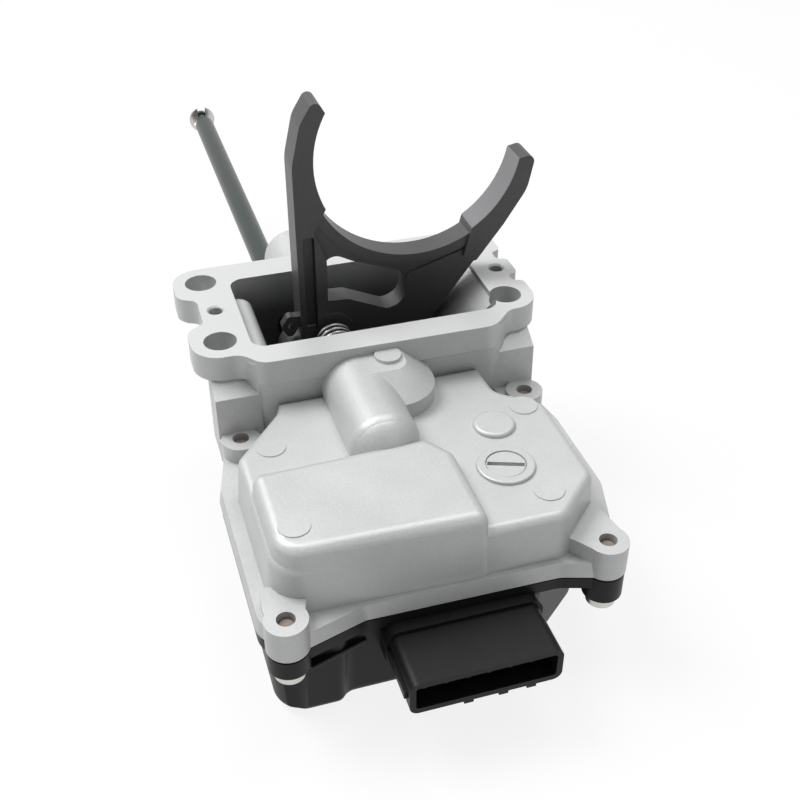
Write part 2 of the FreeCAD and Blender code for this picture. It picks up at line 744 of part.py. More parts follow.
def build_cover():
    """Flange, ears, tray, connector, board posts and motor saddles of the cover."""
    flange = prism(rim_outline, cover_flange_z + 1.4, cover_top_z, 0.4)
    ears = [post(*place, cover_ear_r - 0.2, ear_bottom(place), cover_top_z)
            for place in cover_ears]
    tray = tapered(sump_outline, cover_flange_z + 2.5, cover_floor_z, sump_draft)
    tray = tray.makeFillet(sump_round, edges_near(tray, lambda e, m: flat_edge(e, cover_floor_z)))
    pads = [(-30.0, -80.0), (30.0, -62.0)]
    feet = [post(x, y, 6.0, cover_floor_z - 0.8, cover_floor_z + 1) for x, y in pads]
    solid = joined(flange, tray, *(ears + feet))
    pockets = [post(*place, pocket_r, cover_floor_z - 2, ear_bottom(place))
               for place in cover_ears]
    solid = without(solid, *pockets)
    cavity = tapered(sump_outline, cover_top_z + 1, cover_floor_z + cover_wall, sump_draft, cover_wall)
    keep_walls = [post(x, y, pocket_r + cover_wall, cover_floor_z, cover_top_z + 2)
                  for x, y in cover_ears]
    solid = without(solid, without(cavity, *keep_walls))
    floor_top = cover_floor_z + cover_wall
    posts = [post(x, y, board_post_r, floor_top - 0.2, board_top_z - board_t)
             for x, y in board_screws]
    saddles = [block(x - saddle_t / 2, x + saddle_t / 2, worm_y - 10, worm_y + 10,
                     floor_top - 0.2, worm_z - 9) for x in saddle_places]
    cradle = along_x(worm_y, worm_z, motor_r + motor_pad_t, motor_x0 - 4, motor_x1 + 4)
    saddles = [without(saddle, cradle) for saddle in saddles]
    solid = joined(solid, connector_shroud(), *(posts + saddles))
    holes = [post(*place, cover_screw_hole_r, ear_bottom(place) - 1, cover_top_z + 1)
             for place in cover_ears]
    holes += [post(x, y, board_screw_r, board_top_z - board_t - 6, board_top_z)
              for x, y in board_screws]
    return without(solid, *(holes + terminal_blades()))


def build_gasket():
    """Flat gasket between the casting and the cover."""
    outer = prism(rim_outline, cover_top_z, mating_z, 0.7)
    outer = joined(outer, *[post(x, y, cover_ear_r - 0.5, cover_top_z, mating_z)
                            for x, y in cover_ears])
    inner = prism(sump_outline, cover_top_z - 1, mating_z + 1, cover_wall + 0.4)
    walls = [post(x, y, pocket_r + cover_wall, cover_top_z - 2, mating_z + 2)
             for x, y in cover_ears]
    holes = [post(x, y, cover_screw_hole_r, cover_top_z - 1, mating_z + 1) for x, y in cover_ears]
    return without(outer, *([without(inner, *walls)] + holes))


def cover_screw(place):
    """Pan-head screw driven upwards into a cover ear, with a star recess in its head."""
    head_top = ear_bottom(place) - washer_t
    head_low = head_top - screw_head_h
    tip = cover_ear_top_z - screw_tip_gap
    head = post(*place, screw_head_r, head_low, head_top)
    head = head.makeChamfer(0.9, edges_near(head, lambda e, m: flat_edge(e, head_low)))
    shank = post(*place, cover_screw_r, head_top, tip)
    shank = shank.makeChamfer(0.6, edges_near(shank, lambda e, m: flat_edge(e, tip)))
    half_w = screw_star_w / 2
    star = [block(-2.1, 2.1, -half_w, half_w, head_low - 1, head_low + 2.0) for _ in range(3)]
    for i, arm in enumerate(star):
        arm.rotate(Vector(0, 0, 0), Vector(0, 0, 1), 60 * i)
        arm.translate(Vector(*place, 0))
    return without(joined(head, shank), *star)


def cover_washer(place):
    """Washer under a cover screw's head."""
    return ring_z(*place, washer_r, cover_screw_r, ear_bottom(place) - washer_t, ear_bottom(place))


# Access plug over the worm

def build_plug():
    """Slotted plug, flush with its raised ring."""
    top = body_top_z + plug_ring_h - 0.2
    plug = post(plug_x, plug_y, plug_r, top - plug_depth, top)
    plug = plug.makeChamfer(0.4, edges_near(plug, lambda e, m: flat_edge(e, top)))
    slot = block(0.6 - plug_r, plug_r - 0.6, -plug_slot_w / 2, plug_slot_w / 2, top - 1.5, top + 1)
    slot.rotate(Vector(0, 0, 0), Vector(0, 0, 1), plug_slot_angle)
    slot.translate(Vector(plug_x, plug_y, 0))
    groove = ring_z(plug_x, plug_y, plug_r + 1, plug_r - 0.8, top + plug_seal_z[0],
                    top + plug_seal_z[1])
    return without(plug, slot, groove)


def build_plug_seal():
    """Square ring in the plug's groove."""
    top = body_top_z + plug_ring_h - 0.2
    return ring_z(plug_x, plug_y, plug_r, plug_r - 0.8, top + plug_seal_z[0],
                  top + plug_seal_z[1])


# Gears

def involute_gap(angle):
    """Involute function of a pressure angle."""
    return math.tan(angle) - angle


def gear_points(teeth, phase, z):
    """Corner points of a spur gear outline at height z, one tooth centred at phase."""
    pitch_r = module * teeth / 2
    tip_r = pitch_r + module
    root_r = pitch_r - 1.25 * module
    base_r = pitch_r * math.cos(pressure_angle)
    half_pitch = math.pi / (2 * teeth) - backlash / (4 * pitch_r)
    points = []
    for i in range(teeth):
        middle = phase + 2 * math.pi * i / teeth
        flank = []
        for r in (max(base_r, root_r), pitch_r, tip_r):
            local = math.acos(min(1.0, base_r / r))
            flank.append((r, half_pitch + involute_gap(pressure_angle) - involute_gap(local)))
        flank.insert(0, (root_r, flank[0][1]))
        for r, half in flank:
            points.append((r, middle - half))
        for r, half in reversed(flank):
            points.append((r, middle + half))
    return [Vector(r * math.cos(a), r * math.sin(a), z) for r, a in points]


def spur_gear(x, y, teeth, phase, z0, z1):
    """Straight-cut gear blank, without its bore."""
    points = gear_points(teeth, phase, z0)
    face = Part.Face(Part.makePolygon(points + [points[0]]))
    gear = face.extrude(Vector(0, 0, z1 - z0))
    gear.translate(Vector(x, y, 0))
    return gear


def meshed_phase(angle, teeth, phase, other_teeth):
    """Phase of a gear that meshes with one of given teeth and phase, lying at angle from it."""
    here = teeth * (angle - phase)
    return angle + math.pi - (math.pi - here) / other_teeth


output_phase = math.pi + math.pi / output_teeth
to_idler = math.atan2(idler_y - output_y, idler_x - output_x)
idler_small_phase = meshed_phase(to_idler, output_teeth, output_phase, idler_small_teeth)
idler_large_phase = 0.0
to_wheel = math.atan2(wheel_y - idler_y, wheel_x - idler_x)
wheel_small_phase = meshed_phase(to_wheel, idler_large_teeth, idler_large_phase, wheel_small_teeth)
worm_wheel_phase = -math.pi / 2 + math.pi / worm_wheel_teeth


def build_output_pinion():
    """Long pinion that joins the idler to the rack."""
    gear = spur_gear(output_x, output_y, output_teeth, output_phase, output_z[0], output_z[1])
    bore = post(output_x, output_y, axle_r + axle_gap, output_z[0] - 1, output_z[1] + 1)
    return without(gear, bore)


def build_idler():
    """Two-step idler with the long hub that carries the contact brush."""
    small = spur_gear(idler_x, idler_y, idler_small_teeth, idler_small_phase,
                      gear_mesh_z[1] - 0.5, idler_small_z[1])
    large = spur_gear(idler_x, idler_y, idler_large_teeth, idler_large_phase, *gear_mesh_z)
    hub = post(idler_x, idler_y, 3.6, idler_hub_z, gear_mesh_z[0] + 0.5)
    windows = []
    for i in range(idler_window_count):
        angle = 2 * math.pi * i / idler_window_count
        windows.append(post(idler_x + idler_window_reach * math.cos(angle),
                            idler_y + idler_window_reach * math.sin(angle), idler_window_r,
                            gear_mesh_z[0] - 1, gear_mesh_z[1] + 1))
    bore = post(idler_x, idler_y, axle_r + axle_gap, idler_hub_z - 1, idler_small_z[1] + 1)
    return without(joined(small, large, hub), bore, *windows)


def build_contact_rotor():
    """Insulating disc with two brush fingers, pressed on the idler hub's end."""
    disc = ring_z(idler_x, idler_y, brush_disc_r, axle_r + axle_gap,
                  idler_hub_z - brush_disc_t, idler_hub_z)
    fingers = [block(idler_x + sx * 6.4 - 0.9, idler_x + sx * 6.4 + 0.9, idler_y - 2.5, idler_y + 2.5,
                     board_top_z + thin, idler_hub_z - brush_disc_t + 0.2) for sx in (-1, 1)]
    return joined(disc, *fingers)


def build_wheel_pinion():
    """Steel pinion pressed into the worm wheel."""
    gear = spur_gear(wheel_x, wheel_y, wheel_small_teeth, wheel_small_phase, *gear_mesh_z)
    sleeve = post(wheel_x, wheel_y, 4.4, worm_wheel_z[0], gear_mesh_z[0] + 0.5)
    bore = post(wheel_x, wheel_y, axle_r + axle_gap, worm_wheel_z[0] - 1, gear_mesh_z[1] + 1)
    return without(joined(gear, sleeve), bore)


def build_worm_wheel():
    """Worm wheel with teeth tilted by the worm's lead angle."""
    half = (worm_wheel_z[1] - worm_wheel_z[0]) / 2
    twist = module / 2 / worm_pitch_r * half / worm_wheel_r
    low = gear_points(worm_wheel_teeth, worm_wheel_phase - twist, worm_wheel_z[0])
    high = gear_points(worm_wheel_teeth, worm_wheel_phase + twist, worm_wheel_z[1])
    wheel = Part.makeLoft([Part.makePolygon(low + [low[0]]), Part.makePolygon(high + [high[0]])],
                          True, True)
    dish = ring_z(0, 0, worm_wheel_r - 3.2, 6.6, worm_wheel_z[0] - 1, worm_wheel_z[0] + 1.6)
    bore = post(0, 0, 4.4, worm_wheel_z[0] - 1, worm_wheel_z[1] + 1)
    wheel = without(wheel, dish, bore)
    wheel.translate(Vector(wheel_x, wheel_y, 0))
    return wheel


def build_worm():
    """Single-start worm: a helical thread swept round its core."""
    lead = math.pi * module
    half_length = worm_length / 2
    turns = 2 * math.ceil(half_length / lead) + 1
    start = math.ceil(half_length / lead)
    tip = worm_pitch_r + module
    root = worm_pitch_r - 1.25 * module - thin
    half_pitch = lead / 4 - worm_thread_backlash / 2
    slope = math.tan(pressure_angle)
    half_tip = half_pitch - (tip - worm_pitch_r) * slope
    half_root = half_pitch + (worm_pitch_r - root) * slope
    corners = [Vector(root, 0, -half_root), Vector(tip, 0, -half_tip), Vector(tip, 0, half_tip),
               Vector(root, 0, half_root)]
    profile = Part.makePolygon(corners + [corners[0]])
    helix = Part.makeHelix(lead, lead * turns, worm_pitch_r)
    thread = Part.Wire(helix).makePipeShell([profile], True, True)
    thread.translate(Vector(0, 0, -start * lead))
    core = Part.makeCylinder(root + thin, worm_length, Vector(0, 0, -half_length))
    limit = Part.makeCylinder(tip + 1, worm_length - 1.0, Vector(0, 0, -half_length + 0.5))
    worm = joined(core, thread.common(limit))
    worm = without(worm, Part.makeCylinder(motor_shaft_r, worm_length + 2,
                                           Vector(0, 0, -half_length - 1)))
    worm.rotate(Vector(0, 0, 0), Vector(1, 1, 1), 120)
    worm.translate(Vector(wheel_x, worm_y, worm_z))
    return worm


def build_axles():
    """Pins pressed into the casting for the wheel, the idler and the output pinion."""
    return {
        "wheel_axle": post(wheel_x, wheel_y, axle_r, wheel_end_z, gear_top_z + 1.6),
        "idler_axle": post(idler_x, idler_y, axle_r, idler_end_z, gear_top_z + 1.2),
        "output_axle": post(output_x, output_y, axle_r, output_z[0], output_z[1] + 3.4),
    }


def build_axle_clips():
    """Retaining rings and thrust washers on the axles."""
    return together([
        ring_z(wheel_x, wheel_y, 3.6, axle_r, gear_mesh_z[1] + washer_gap, gear_mesh_z[1] + 0.9),
        ring_z(wheel_x, wheel_y, 3.4, axle_r, worm_wheel_z[0] - 0.9, worm_wheel_z[0] - washer_gap),
        ring_z(idler_x, idler_y, 3.4, axle_r, idler_hub_z - brush_disc_t - 0.8,
               idler_hub_z - brush_disc_t - washer_gap),
    ])


# Drive rod, its rack and the waiting spring

def build_drive_rod():
    """Rod with rack teeth on its right side and grooves for its snap rings."""
    rod = along_y(drive_x, drive_z, drive_r, drive_front_y, drive_rear_y)
    rod = rod.makeChamfer(0.8, edges_near(rod, lambda e, m: m.y < drive_front_y + 0.1
                                          or m.y > drive_rear_y - 0.1))
    reach = module * (output_teeth / 2 + 1) + thin
    room = [post(output_x, output_y, reach, drive_z - 6, drive_z + 6),
            post(output_x, output_y - stroke, reach, drive_z - 6, drive_z + 6),
            block(output_x - reach, output_x, output_y - stroke, output_y, drive_z - 6, drive_z + 6)]
    rod = without(rod, joined(*room))
    pitch_x = drive_x + rack_offset
    slope = math.tan(pressure_angle)
    half = module * math.pi / 4 - backlash / 4
    tooth_count = math.ceil((stroke + 2.5) / (math.pi * module)) + 1
    teeth = []
    for i in range(tooth_count):
        y = output_y - i * math.pi * module
        root_x = output_x - reach - thin
        half_root = half + (pitch_x - root_x) * slope
        half_tip = half - module * slope
        tip_x = pitch_x + module
        teeth.append(prism([(root_x, y - half_root, 0), (tip_x, y - half_tip, 0),
                            (tip_x, y + half_tip, 0), (root_x, y + half_root, 0)],
                           drive_z - drive_r, drive_z + drive_r))
    limit = along_y(drive_x, drive_z, drive_r, drive_front_y, drive_rear_y)
    rod = joined(rod, joined(*teeth).common(limit))
    grooves = [ring_y(drive_x, drive_z, drive_r + 1, drive_r - 0.6, y, y + snap_ring_t)
               for y in (front_ring_y, rear_ring_y)]
    return without(rod, *grooves)


def build_snap_rings():
    """Snap rings in the drive rod's grooves."""
    rings = []
    for y in (front_ring_y, rear_ring_y):
        ring = ring_y(drive_x, drive_z, snap_ring_r, drive_r - 0.6, y, y + snap_ring_t)
        gap = block(drive_x - 1.2, drive_x + 1.2, y - 1, y + 2, drive_z + drive_r - 1.2, drive_z + 8)
        rings.append(without(ring, gap))
    return together(rings)


def build_spring():
    """Waiting spring between its seat and the fork's lug."""
    length = fork_front_y - 0.15 - spring_front_y - spring_wire
    helix = Part.makeHelix(length / spring_turns, length, spring_mean_r)
    corners = []
    for i in range(spring_sides):
        angle = 2 * math.pi * i / spring_sides
        corners.append(Vector(spring_mean_r + spring_wire / 2 * math.cos(angle), 0,
                              spring_wire / 2 * math.sin(angle)))
    wire = Part.makePolygon(corners + [corners[0]])
    spring = Part.Wire(helix).makePipeShell([wire], True, True)
    spring.rotate(Vector(0, 0, 0), Vector(1, 0, 0), -90)
    spring.translate(Vector(drive_x, spring_front_y + spring_wire / 2, drive_z))
    return spring


def build_rear_plug():
    """Pressed cup that closes the drive rod's boss, with a raised rim."""
    y0 = rear_boss_y - 0.6 - rear_plug_t
    cup = along_y(drive_x, drive_z, plug_recess_r, y0, y0 + rear_plug_t)
    cup = cup.makeChamfer(0.5, edges_near(cup, lambda e, m: m.y > y0 + rear_plug_t - 0.1))
    hollow = cone_y(drive_x, drive_z, plug_recess_r - 2.2, plug_recess_r - 1.4,
                    y0 + rear_plug_t - 1.2, y0 + rear_plug_t)
    return without(cup, hollow)


# Shift shaft and fork

def fork_loop_left():
    """Left pad and arm, down to the hub, as (x, z, radius) corners."""
    return [(-17.9, -17.0, 0), (-9.0, -17.0, 0), (-8.8, 14.0, 4.0), (-12.6, 24.0, 4.0),
            (-8.0, 32.0, 0), (-9.0, 50.0, 0), (-7.2, 60.9, 1.0), (-10.3, 66.3, 2.0),
            (-15.2, 58.5, 9.0), (-18.1, 46.0, 18.0)]


def fork_eye():
    """Diamond-shaped eye at the left of the leg, as (x, z, radius) corners."""
    return [(-24.2, -8.3, 1.6), (-21.4, -13.6, 1.6), (-18.4, -8.6, 1.6), (-20.6, -2.8, 1.6)]


def fork_loop_right():
    """Right pad and arm, as (x, z, radius) corners."""
    return [(38.4, 17.4, 0), (36.0, 8.0, 0), (40.2, 5.6, 1.0), (49.2, 17.6, 10.0),
            (56.4, 28.8, 12.0), (58.8, 40.6, 2.2), (53.2, 39.4, 1.2), (44.0, 34.0, 0)]


def fork_loop_web():
    """Thin web under the bore, with its lower edge over the window."""
    return [(-12.0, 8.0, 0), (-7.0, 15.2, 4.0), (0.0, 11.4, 8.0), (15.0, 5.6, 4.0),
            (19.0, 0.0, 0), (34.0, -2.0, 0), (46.0, 14.0, 0), (44.0, 34.0, 0), (-12.0, 44.0, 0)]


def fork_loop_leg():
    """Slanting right leg and the brace that lead back to the hub."""
    return [(shift_x, -26.4, 0), (-2.0, -26.4, 8.0), (26.0, -13.6, 6.0), (41.0, 6.6, 0),
            (36.5, 10.0, 0), (17.6, 4.4, 2.0), (16.4, -5.6, 5.0), (11.0, -7.6, 4.0),
            (-2.0, -1.6, 3.0), (-9.0, -1.2, 3.0), (-12.0, 2.0, 0), (shift_x, 2.0, 0)]


def build_fork():
    """Shift fork: padded arms, web, legs, shaft hub, drive lug and side eye."""
    y0 = fork_front_y
    y1 = fork_front_y + fork_pad_t
    web_y = (y0 + (fork_pad_t - fork_web_t) / 2, y1 - (fork_pad_t - fork_web_t) / 2)
    bore = along_y(fork_bore_x, fork_bore_z, fork_pad_r, y0 - 1, y1 + 1)
    wide_bore = along_y(fork_bore_x, fork_bore_z, fork_web_r, y0 - 1, y1 + 1)
    pads = [without(section_y(loop, y0, y1), bore) for loop in (fork_loop_left(), fork_loop_right())]
    rim = along_y(fork_bore_x, fork_bore_z, fork_web_r + 3.2, web_y[0] - 0.9, web_y[1] + 0.9)
    rim = rim.common(section_y(fork_loop_web(), y0, y1))
    web = joined(section_y(fork_loop_web(), *web_y), rim)
    web = without(web, wide_bore)
    leg = section_y(fork_loop_leg(), web_y[0] - 0.6, web_y[1] + 0.6)
    hub = along_y(shift_x, shift_z, fork_hub_r, fork_hub_front_y, y1)
    hub = hub.makeChamfer(0.8, edges_near(hub, lambda e, m: m.y < fork_hub_front_y + 0.1))
    lug = along_y(drive_x, drive_z, fork_lug_r, y0, y1)
    eye = section_y(fork_eye(), *fork_eye_y)
    eye_tail = block(-20.4, shift_x + 1, *fork_eye_y, -9.0, -5.0)
    body = joined(web, leg, *pads)
    body = joined(body, hub.fuse(lug))
    body = joined(body, joined(eye, eye_tail))
    holes = [
        along_y(shift_x, shift_z, shift_r, fork_hub_front_y - 1, y1 + 1),
        along_y(drive_x, drive_z, drive_r + running_gap, fork_hub_front_y - 1, y1 + 1),
        ring_y(drive_x, drive_z, spring_mean_r + spring_wire, drive_r, fork_hub_front_y - 1, y0),
        section_y(fork_eye(), fork_eye_y[0] - 1, fork_eye_y[1] + 1, fork_eye_wall),
        pin_hole(),
    ]
    return without(body, *holes)


def pin_hole():
    """Bore of the fork's roll pin, across the hub and the shaft."""
    return along_x(fork_pin_y, shift_z, fork_pin_r, shift_x - fork_hub_r - 1,
                   shift_x + fork_hub_r - 0.6)


def build_fork_pin():
    """Slotted roll pin."""
    x0 = shift_x - fork_hub_r + 0.2
    x1 = shift_x + fork_hub_r - 0.8
    pin = ring_x(fork_pin_y, shift_z, fork_pin_r, fork_pin_r - 0.6, x0, x1)
    slit = block(x0 - 1, x1 + 1, fork_pin_y - 0.25, fork_pin_y + 0.25, shift_z, shift_z + 3)
    return without(pin, slit)


def build_shift_shaft():
    """Ground shaft with a necked end for its clip."""
    neck_y = shift_tip_y - tip_neck_length
    shaft = along_y(shift_x, shift_z, shift_r, shift_front_y, neck_y)
    shaft = shaft.makeChamfer(0.7, edges_near(
        shaft, lambda e, m: m.y < shift_front_y + 0.1 or m.y > neck_y - 0.1))
    neck = along_y(shift_x, shift_z, tip_neck_r, neck_y - 0.5, shift_tip_y)
    head = along_y(shift_x, shift_z, tip_head_r, shift_tip_y - tip_head_length, shift_tip_y)
    head = head.makeChamfer(0.4, edges_near(head, lambda e, m: m.y > shift_tip_y - 0.1))
    return without(joined(shaft, neck, head), pin_hole())


def build_tip_clip():
    """Open retaining clip on the shaft's neck."""
    y = shift_tip_y - tip_head_length - clip_t - 0.1
    clip = ring_y(shift_x, shift_z, clip_r, tip_neck_r, y, y + clip_t)
    mouth = block(shift_x - 1.7, shift_x + 1.7, y - 1, y + 2, shift_z + 0.5, shift_z + 8)
    bites = [along_y(shift_x + clip_bite_reach * math.cos(a), shift_z + clip_bite_reach * math.sin(a),
                     clip_bite_r, y - 1, y + 2)
             for a in (math.radians(215), math.radians(325))]
    return without(clip, mouth, *bites)


# Motor

def build_motor_can():
    """Steel can, closed at the front with a round boss for the bush."""
    can = along_x(worm_y, worm_z, motor_r, motor_x0, motor_x1)
    can = can.makeChamfer(1.2, edges_near(can, lambda e, m: m.x > motor_x1 - 0.1))
    boss = along_x(worm_y, worm_z, motor_boss_r, motor_x1 - 1, motor_x1 + 2.6)
    hollow = along_x(worm_y, worm_z, motor_r - motor_wall, motor_x0 - 1, motor_x1 - motor_wall)
    bush = along_x(worm_y, worm_z, motor_bush_r, motor_x1 - 3, motor_x1 + 3)
    threads = [along_x(worm_y + sy * motor_screw_dy, worm_z, motor_screw_r, motor_x1 - 3,
                       motor_x1 + 1) for sy in (-1, 1)]
    return without(joined(can, boss), hollow, bush, *threads)


def build_magnets():
    """Two curved magnets against the can's wall."""
    outer = motor_r - motor_wall
    tube = ring_x(worm_y, worm_z, outer, outer - magnet_t, motor_x0 + 7, motor_x1 - 7)
    gap = block(motor_x0, motor_x1, worm_y - 5, worm_y + 5, worm_z - 20, worm_z + 20)
    return together(without(tube, gap).Solids)


def build_armature_core():
    """Five-pole laminated core."""
    r = motor_r - motor_wall - magnet_t - magnet_gap
    core = along_x(worm_y, worm_z, r, motor_x0 + 9, motor_x1 - 9)
    slots = []
    for i in range(5):
        slot = block(motor_x0, motor_x1, -0.9, 0.9, 4.0, r + 2)
        wide = block(motor_x0, motor_x1, -2.0, 2.0, 4.0, r - 1.6)
        slot = joined(slot, wide)
        slot.rotate(Vector(0, 0, 0), Vector(1, 0, 0), 72 * i)
        slot.translate(Vector(0, worm_y, worm_z))
        slots.append(slot)
    return without(core, along_x(worm_y, worm_z, motor_shaft_r, motor_x0, motor_x1), *slots)


def build_end_cap():
    """Plastic end cap with two terminal tabs' sockets and the rear bush seat."""
    cap = joined(along_x(worm_y, worm_z, motor_r - 0.4, motor_x0 - 3.0, motor_x0),
                 along_x(worm_y, worm_z, motor_r - motor_wall, motor_x0 - 1, motor_x0 + 0.6),
                 along_x(worm_y, worm_z, 5.0, motor_x0 - 5.0, motor_x0))
    bush = along_x(worm_y, worm_z, motor_bush_r, motor_x0 - 4.0, motor_x0 + 2)
    return without(cap, bush)


def build_brushes():
    """Two carbon brushes either side of the commutator, held by the end cap."""
    x0, x1 = motor_x0 + 0.6, motor_x0 + 4.6
    brushes = [block(x0, x1, worm_y - 1.6, worm_y + 1.6, worm_z + 3.0, worm_z + 8.5),
               block(x0, x1, worm_y - 1.6, worm_y + 1.6, worm_z - 8.5, worm_z - 3.0)]
    room = along_x(worm_y, worm_z, commutator_r + 0.1, x0 - 1, x1 + 1)
    return together([without(brush, room) for brush in brushes])


def build_motor_pad():
    """Rubber saddle between the can and the cover's cradle ribs."""
    x0 = saddle_places[0] - 2.5
    x1 = saddle_places[1] + 2.5
    pad = ring_x(worm_y, worm_z, motor_r + motor_pad_t, motor_r, x0, x1)
    low = block(x0 - 1, x1 + 1, worm_y - 10, worm_y + 10, worm_z - 20, worm_z - 8)
    return pad.common(low)


def build_motor_screws():
    """Two screws through the bulkhead into the motor's face."""
    screws = []
    for sy in (-1, 1):
        y = worm_y + sy * motor_screw_dy
        x = motor_x1 + bulkhead_t
        screws.append(joined(along_x(y, worm_z, 2 * motor_screw_r, x, x + 1.6),
                             along_x(y, worm_z, motor_screw_r, motor_x1 - 2, x + 0.5)))
    return together(screws)


def build_flex_lead():
    """Flat lead from the connector blades, under the motor, to the board."""
    y0 = terminal_inner_y
    y1 = board_outline[0][1] + 3.0
    low = cover_floor_z + cover_wall + 2.2
    top = connector_z - terminal_t / 2
    under = board_top_z - board_t
    loop = [(y0, low, 1.2), (y1 + lead_t, low, 1.2), (y1 + lead_t, under, 0), (y1, under, 0),
            (y1, low + lead_t, 0.7), (y0 + lead_t, low + lead_t, 0.7), (y0 + lead_t, top, 0),
            (y0, top, 0)]
    return section_x(loop, -lead_half_w, lead_half_w)


def build_board():
    """Circuit board on the cover's posts."""
    holes = [post(x, y, board_screw_r, board_top_z - 5, board_top_z + 1) for x, y in board_screws]
    return without(prism(board_outline, board_top_z - board_t, board_top_z), *holes)


def board_screw(x, y):
    """Screw through the board into its post."""
    head = post(x, y, 2.1, board_top_z, board_top_z + 1.4)
    shank = post(x, y, board_screw_r, board_top_z - board_t - 5, board_top_z + 0.5)
    return joined(head, shank)


def motor_bush(x0, x1):
    """Bush of the armature shaft."""
    return ring_x(worm_y, worm_z, motor_bush_r, motor_shaft_r + axle_gap, x0, x1)


keep("gear_housing", build_housing())
keep("bottom_cover", build_cover())
keep("cover_gasket", build_gasket())
keep("cover_screws", together([cover_screw(place) for place in cover_ears]))
keep("cover_washers", together([cover_washer(place) for place in cover_ears]))
keep("connector_terminals", together(terminal_blades()))
keep("access_plug", build_plug())
keep("access_plug_seal", build_plug_seal())
keep("circuit_board", build_board())
keep("board_screws", together([board_screw(x, y) for x, y in board_screws]))
keep("flex_lead", build_flex_lead())
keep("motor_can", build_motor_can())
keep("motor_magnets", build_magnets())
keep("motor_end_cap", build_end_cap())
keep("motor_brushes", build_brushes())
keep("motor_bushes", together([motor_bush(motor_x1 - motor_wall, motor_x1 + 2.4),
                               motor_bush(motor_x0 - 3.9, motor_x0 - 0.4)]))
keep("motor_pad", build_motor_pad())
keep("motor_screws", build_motor_screws())
keep("worm_end_bush", ring_x(worm_y, worm_z, motor_shaft_r + 1.4, motor_shaft_r + axle_gap,
                             body_right_x - 8.5, body_right_x - 8.5 + worm_bush_t))
keep("armature_shaft", along_x(worm_y, worm_z, motor_shaft_r, motor_x0 - 3.6, body_right_x - 4.7))
keep("armature_core", build_armature_core())
keep("commutator", ring_x(worm_y, worm_z, commutator_r, motor_shaft_r, *commutator_x))
keep("worm", build_worm())
keep("worm_wheel", build_worm_wheel())
keep("wheel_pinion", build_wheel_pinion())
keep("idler_gear", build_idler())
keep("contact_rotor", build_contact_rotor())
keep("output_pinion", build_output_pinion())
for axle_name, axle in build_axles().items():
    keep(axle_name, axle)
keep("axle_clips", build_axle_clips())
keep("drive_rod", build_drive_rod())
keep("rod_snap_rings", build_snap_rings())
keep("spring_seat", ring_y(drive_x, drive_z, spring_mean_r + spring_wire / 2 + 0.1, drive_r,
                           spring_front_y - spring_seat_t, spring_front_y))
keep("waiting_spring", build_spring())
keep("rod_seal", ring_y(drive_x, drive_z, seal_r, drive_r + running_gap, chamber_y0 - seal_t,
                        chamber_y0))
keep("rear_plug", build_rear_plug())
keep("shaft_bush", ring_y(shift_x, shift_z, shift_bush_r, shift_r + running_gap, *shift_bush_y))
keep("shift_shaft", build_shift_shaft())
keep("shift_fork", build_fork())
keep("fork_pin", build_fork_pin())
keep("shaft_tip_clip", build_tip_clip())

os.makedirs("parts", exist_ok=True)
for node_name, node_shape in nodes.items():
    node_shape.exportStep("parts/%s.step" % node_name)
    print(node_name, node_shape.ShapeType, len(node_shape.Solids), round(node_shape.Volume),
          node_shape.isValid(), len(node_shape.Faces))
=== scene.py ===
import json
import logging
import math
from dataclasses import dataclass

import bpy
from mathutils import Euler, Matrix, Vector

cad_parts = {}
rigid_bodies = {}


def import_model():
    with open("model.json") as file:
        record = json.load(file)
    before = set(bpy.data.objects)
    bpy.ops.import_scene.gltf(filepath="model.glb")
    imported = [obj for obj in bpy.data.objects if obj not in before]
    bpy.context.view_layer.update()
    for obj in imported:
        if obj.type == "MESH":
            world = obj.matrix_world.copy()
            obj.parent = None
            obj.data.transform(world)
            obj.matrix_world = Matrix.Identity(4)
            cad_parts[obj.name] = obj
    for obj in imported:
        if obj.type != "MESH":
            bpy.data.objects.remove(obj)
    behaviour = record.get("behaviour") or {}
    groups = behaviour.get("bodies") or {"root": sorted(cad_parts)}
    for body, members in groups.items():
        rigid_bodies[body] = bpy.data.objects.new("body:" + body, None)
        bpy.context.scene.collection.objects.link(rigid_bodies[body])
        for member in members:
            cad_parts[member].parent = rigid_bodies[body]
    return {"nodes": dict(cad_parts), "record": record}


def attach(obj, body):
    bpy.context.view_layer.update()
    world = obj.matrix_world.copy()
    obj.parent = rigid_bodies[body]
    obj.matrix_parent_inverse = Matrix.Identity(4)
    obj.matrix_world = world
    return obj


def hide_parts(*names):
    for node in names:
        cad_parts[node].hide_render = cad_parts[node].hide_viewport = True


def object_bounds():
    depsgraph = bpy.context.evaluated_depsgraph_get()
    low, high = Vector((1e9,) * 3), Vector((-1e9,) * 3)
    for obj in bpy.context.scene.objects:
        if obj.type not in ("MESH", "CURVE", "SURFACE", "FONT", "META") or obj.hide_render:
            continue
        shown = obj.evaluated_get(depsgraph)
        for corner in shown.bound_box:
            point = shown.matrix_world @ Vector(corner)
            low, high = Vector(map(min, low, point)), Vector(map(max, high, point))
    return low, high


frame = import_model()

Socket = bpy.types.NodeSocket
Node = bpy.types.Node
Tree = bpy.types.NodeTree
Material = bpy.types.Material
Piece = bpy.types.Object
Colour = tuple[float, float, float]
Place = tuple[float, float, float]
Span = tuple[float, float]

CAD_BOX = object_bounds()
LOG = logging.getLogger("actuator")

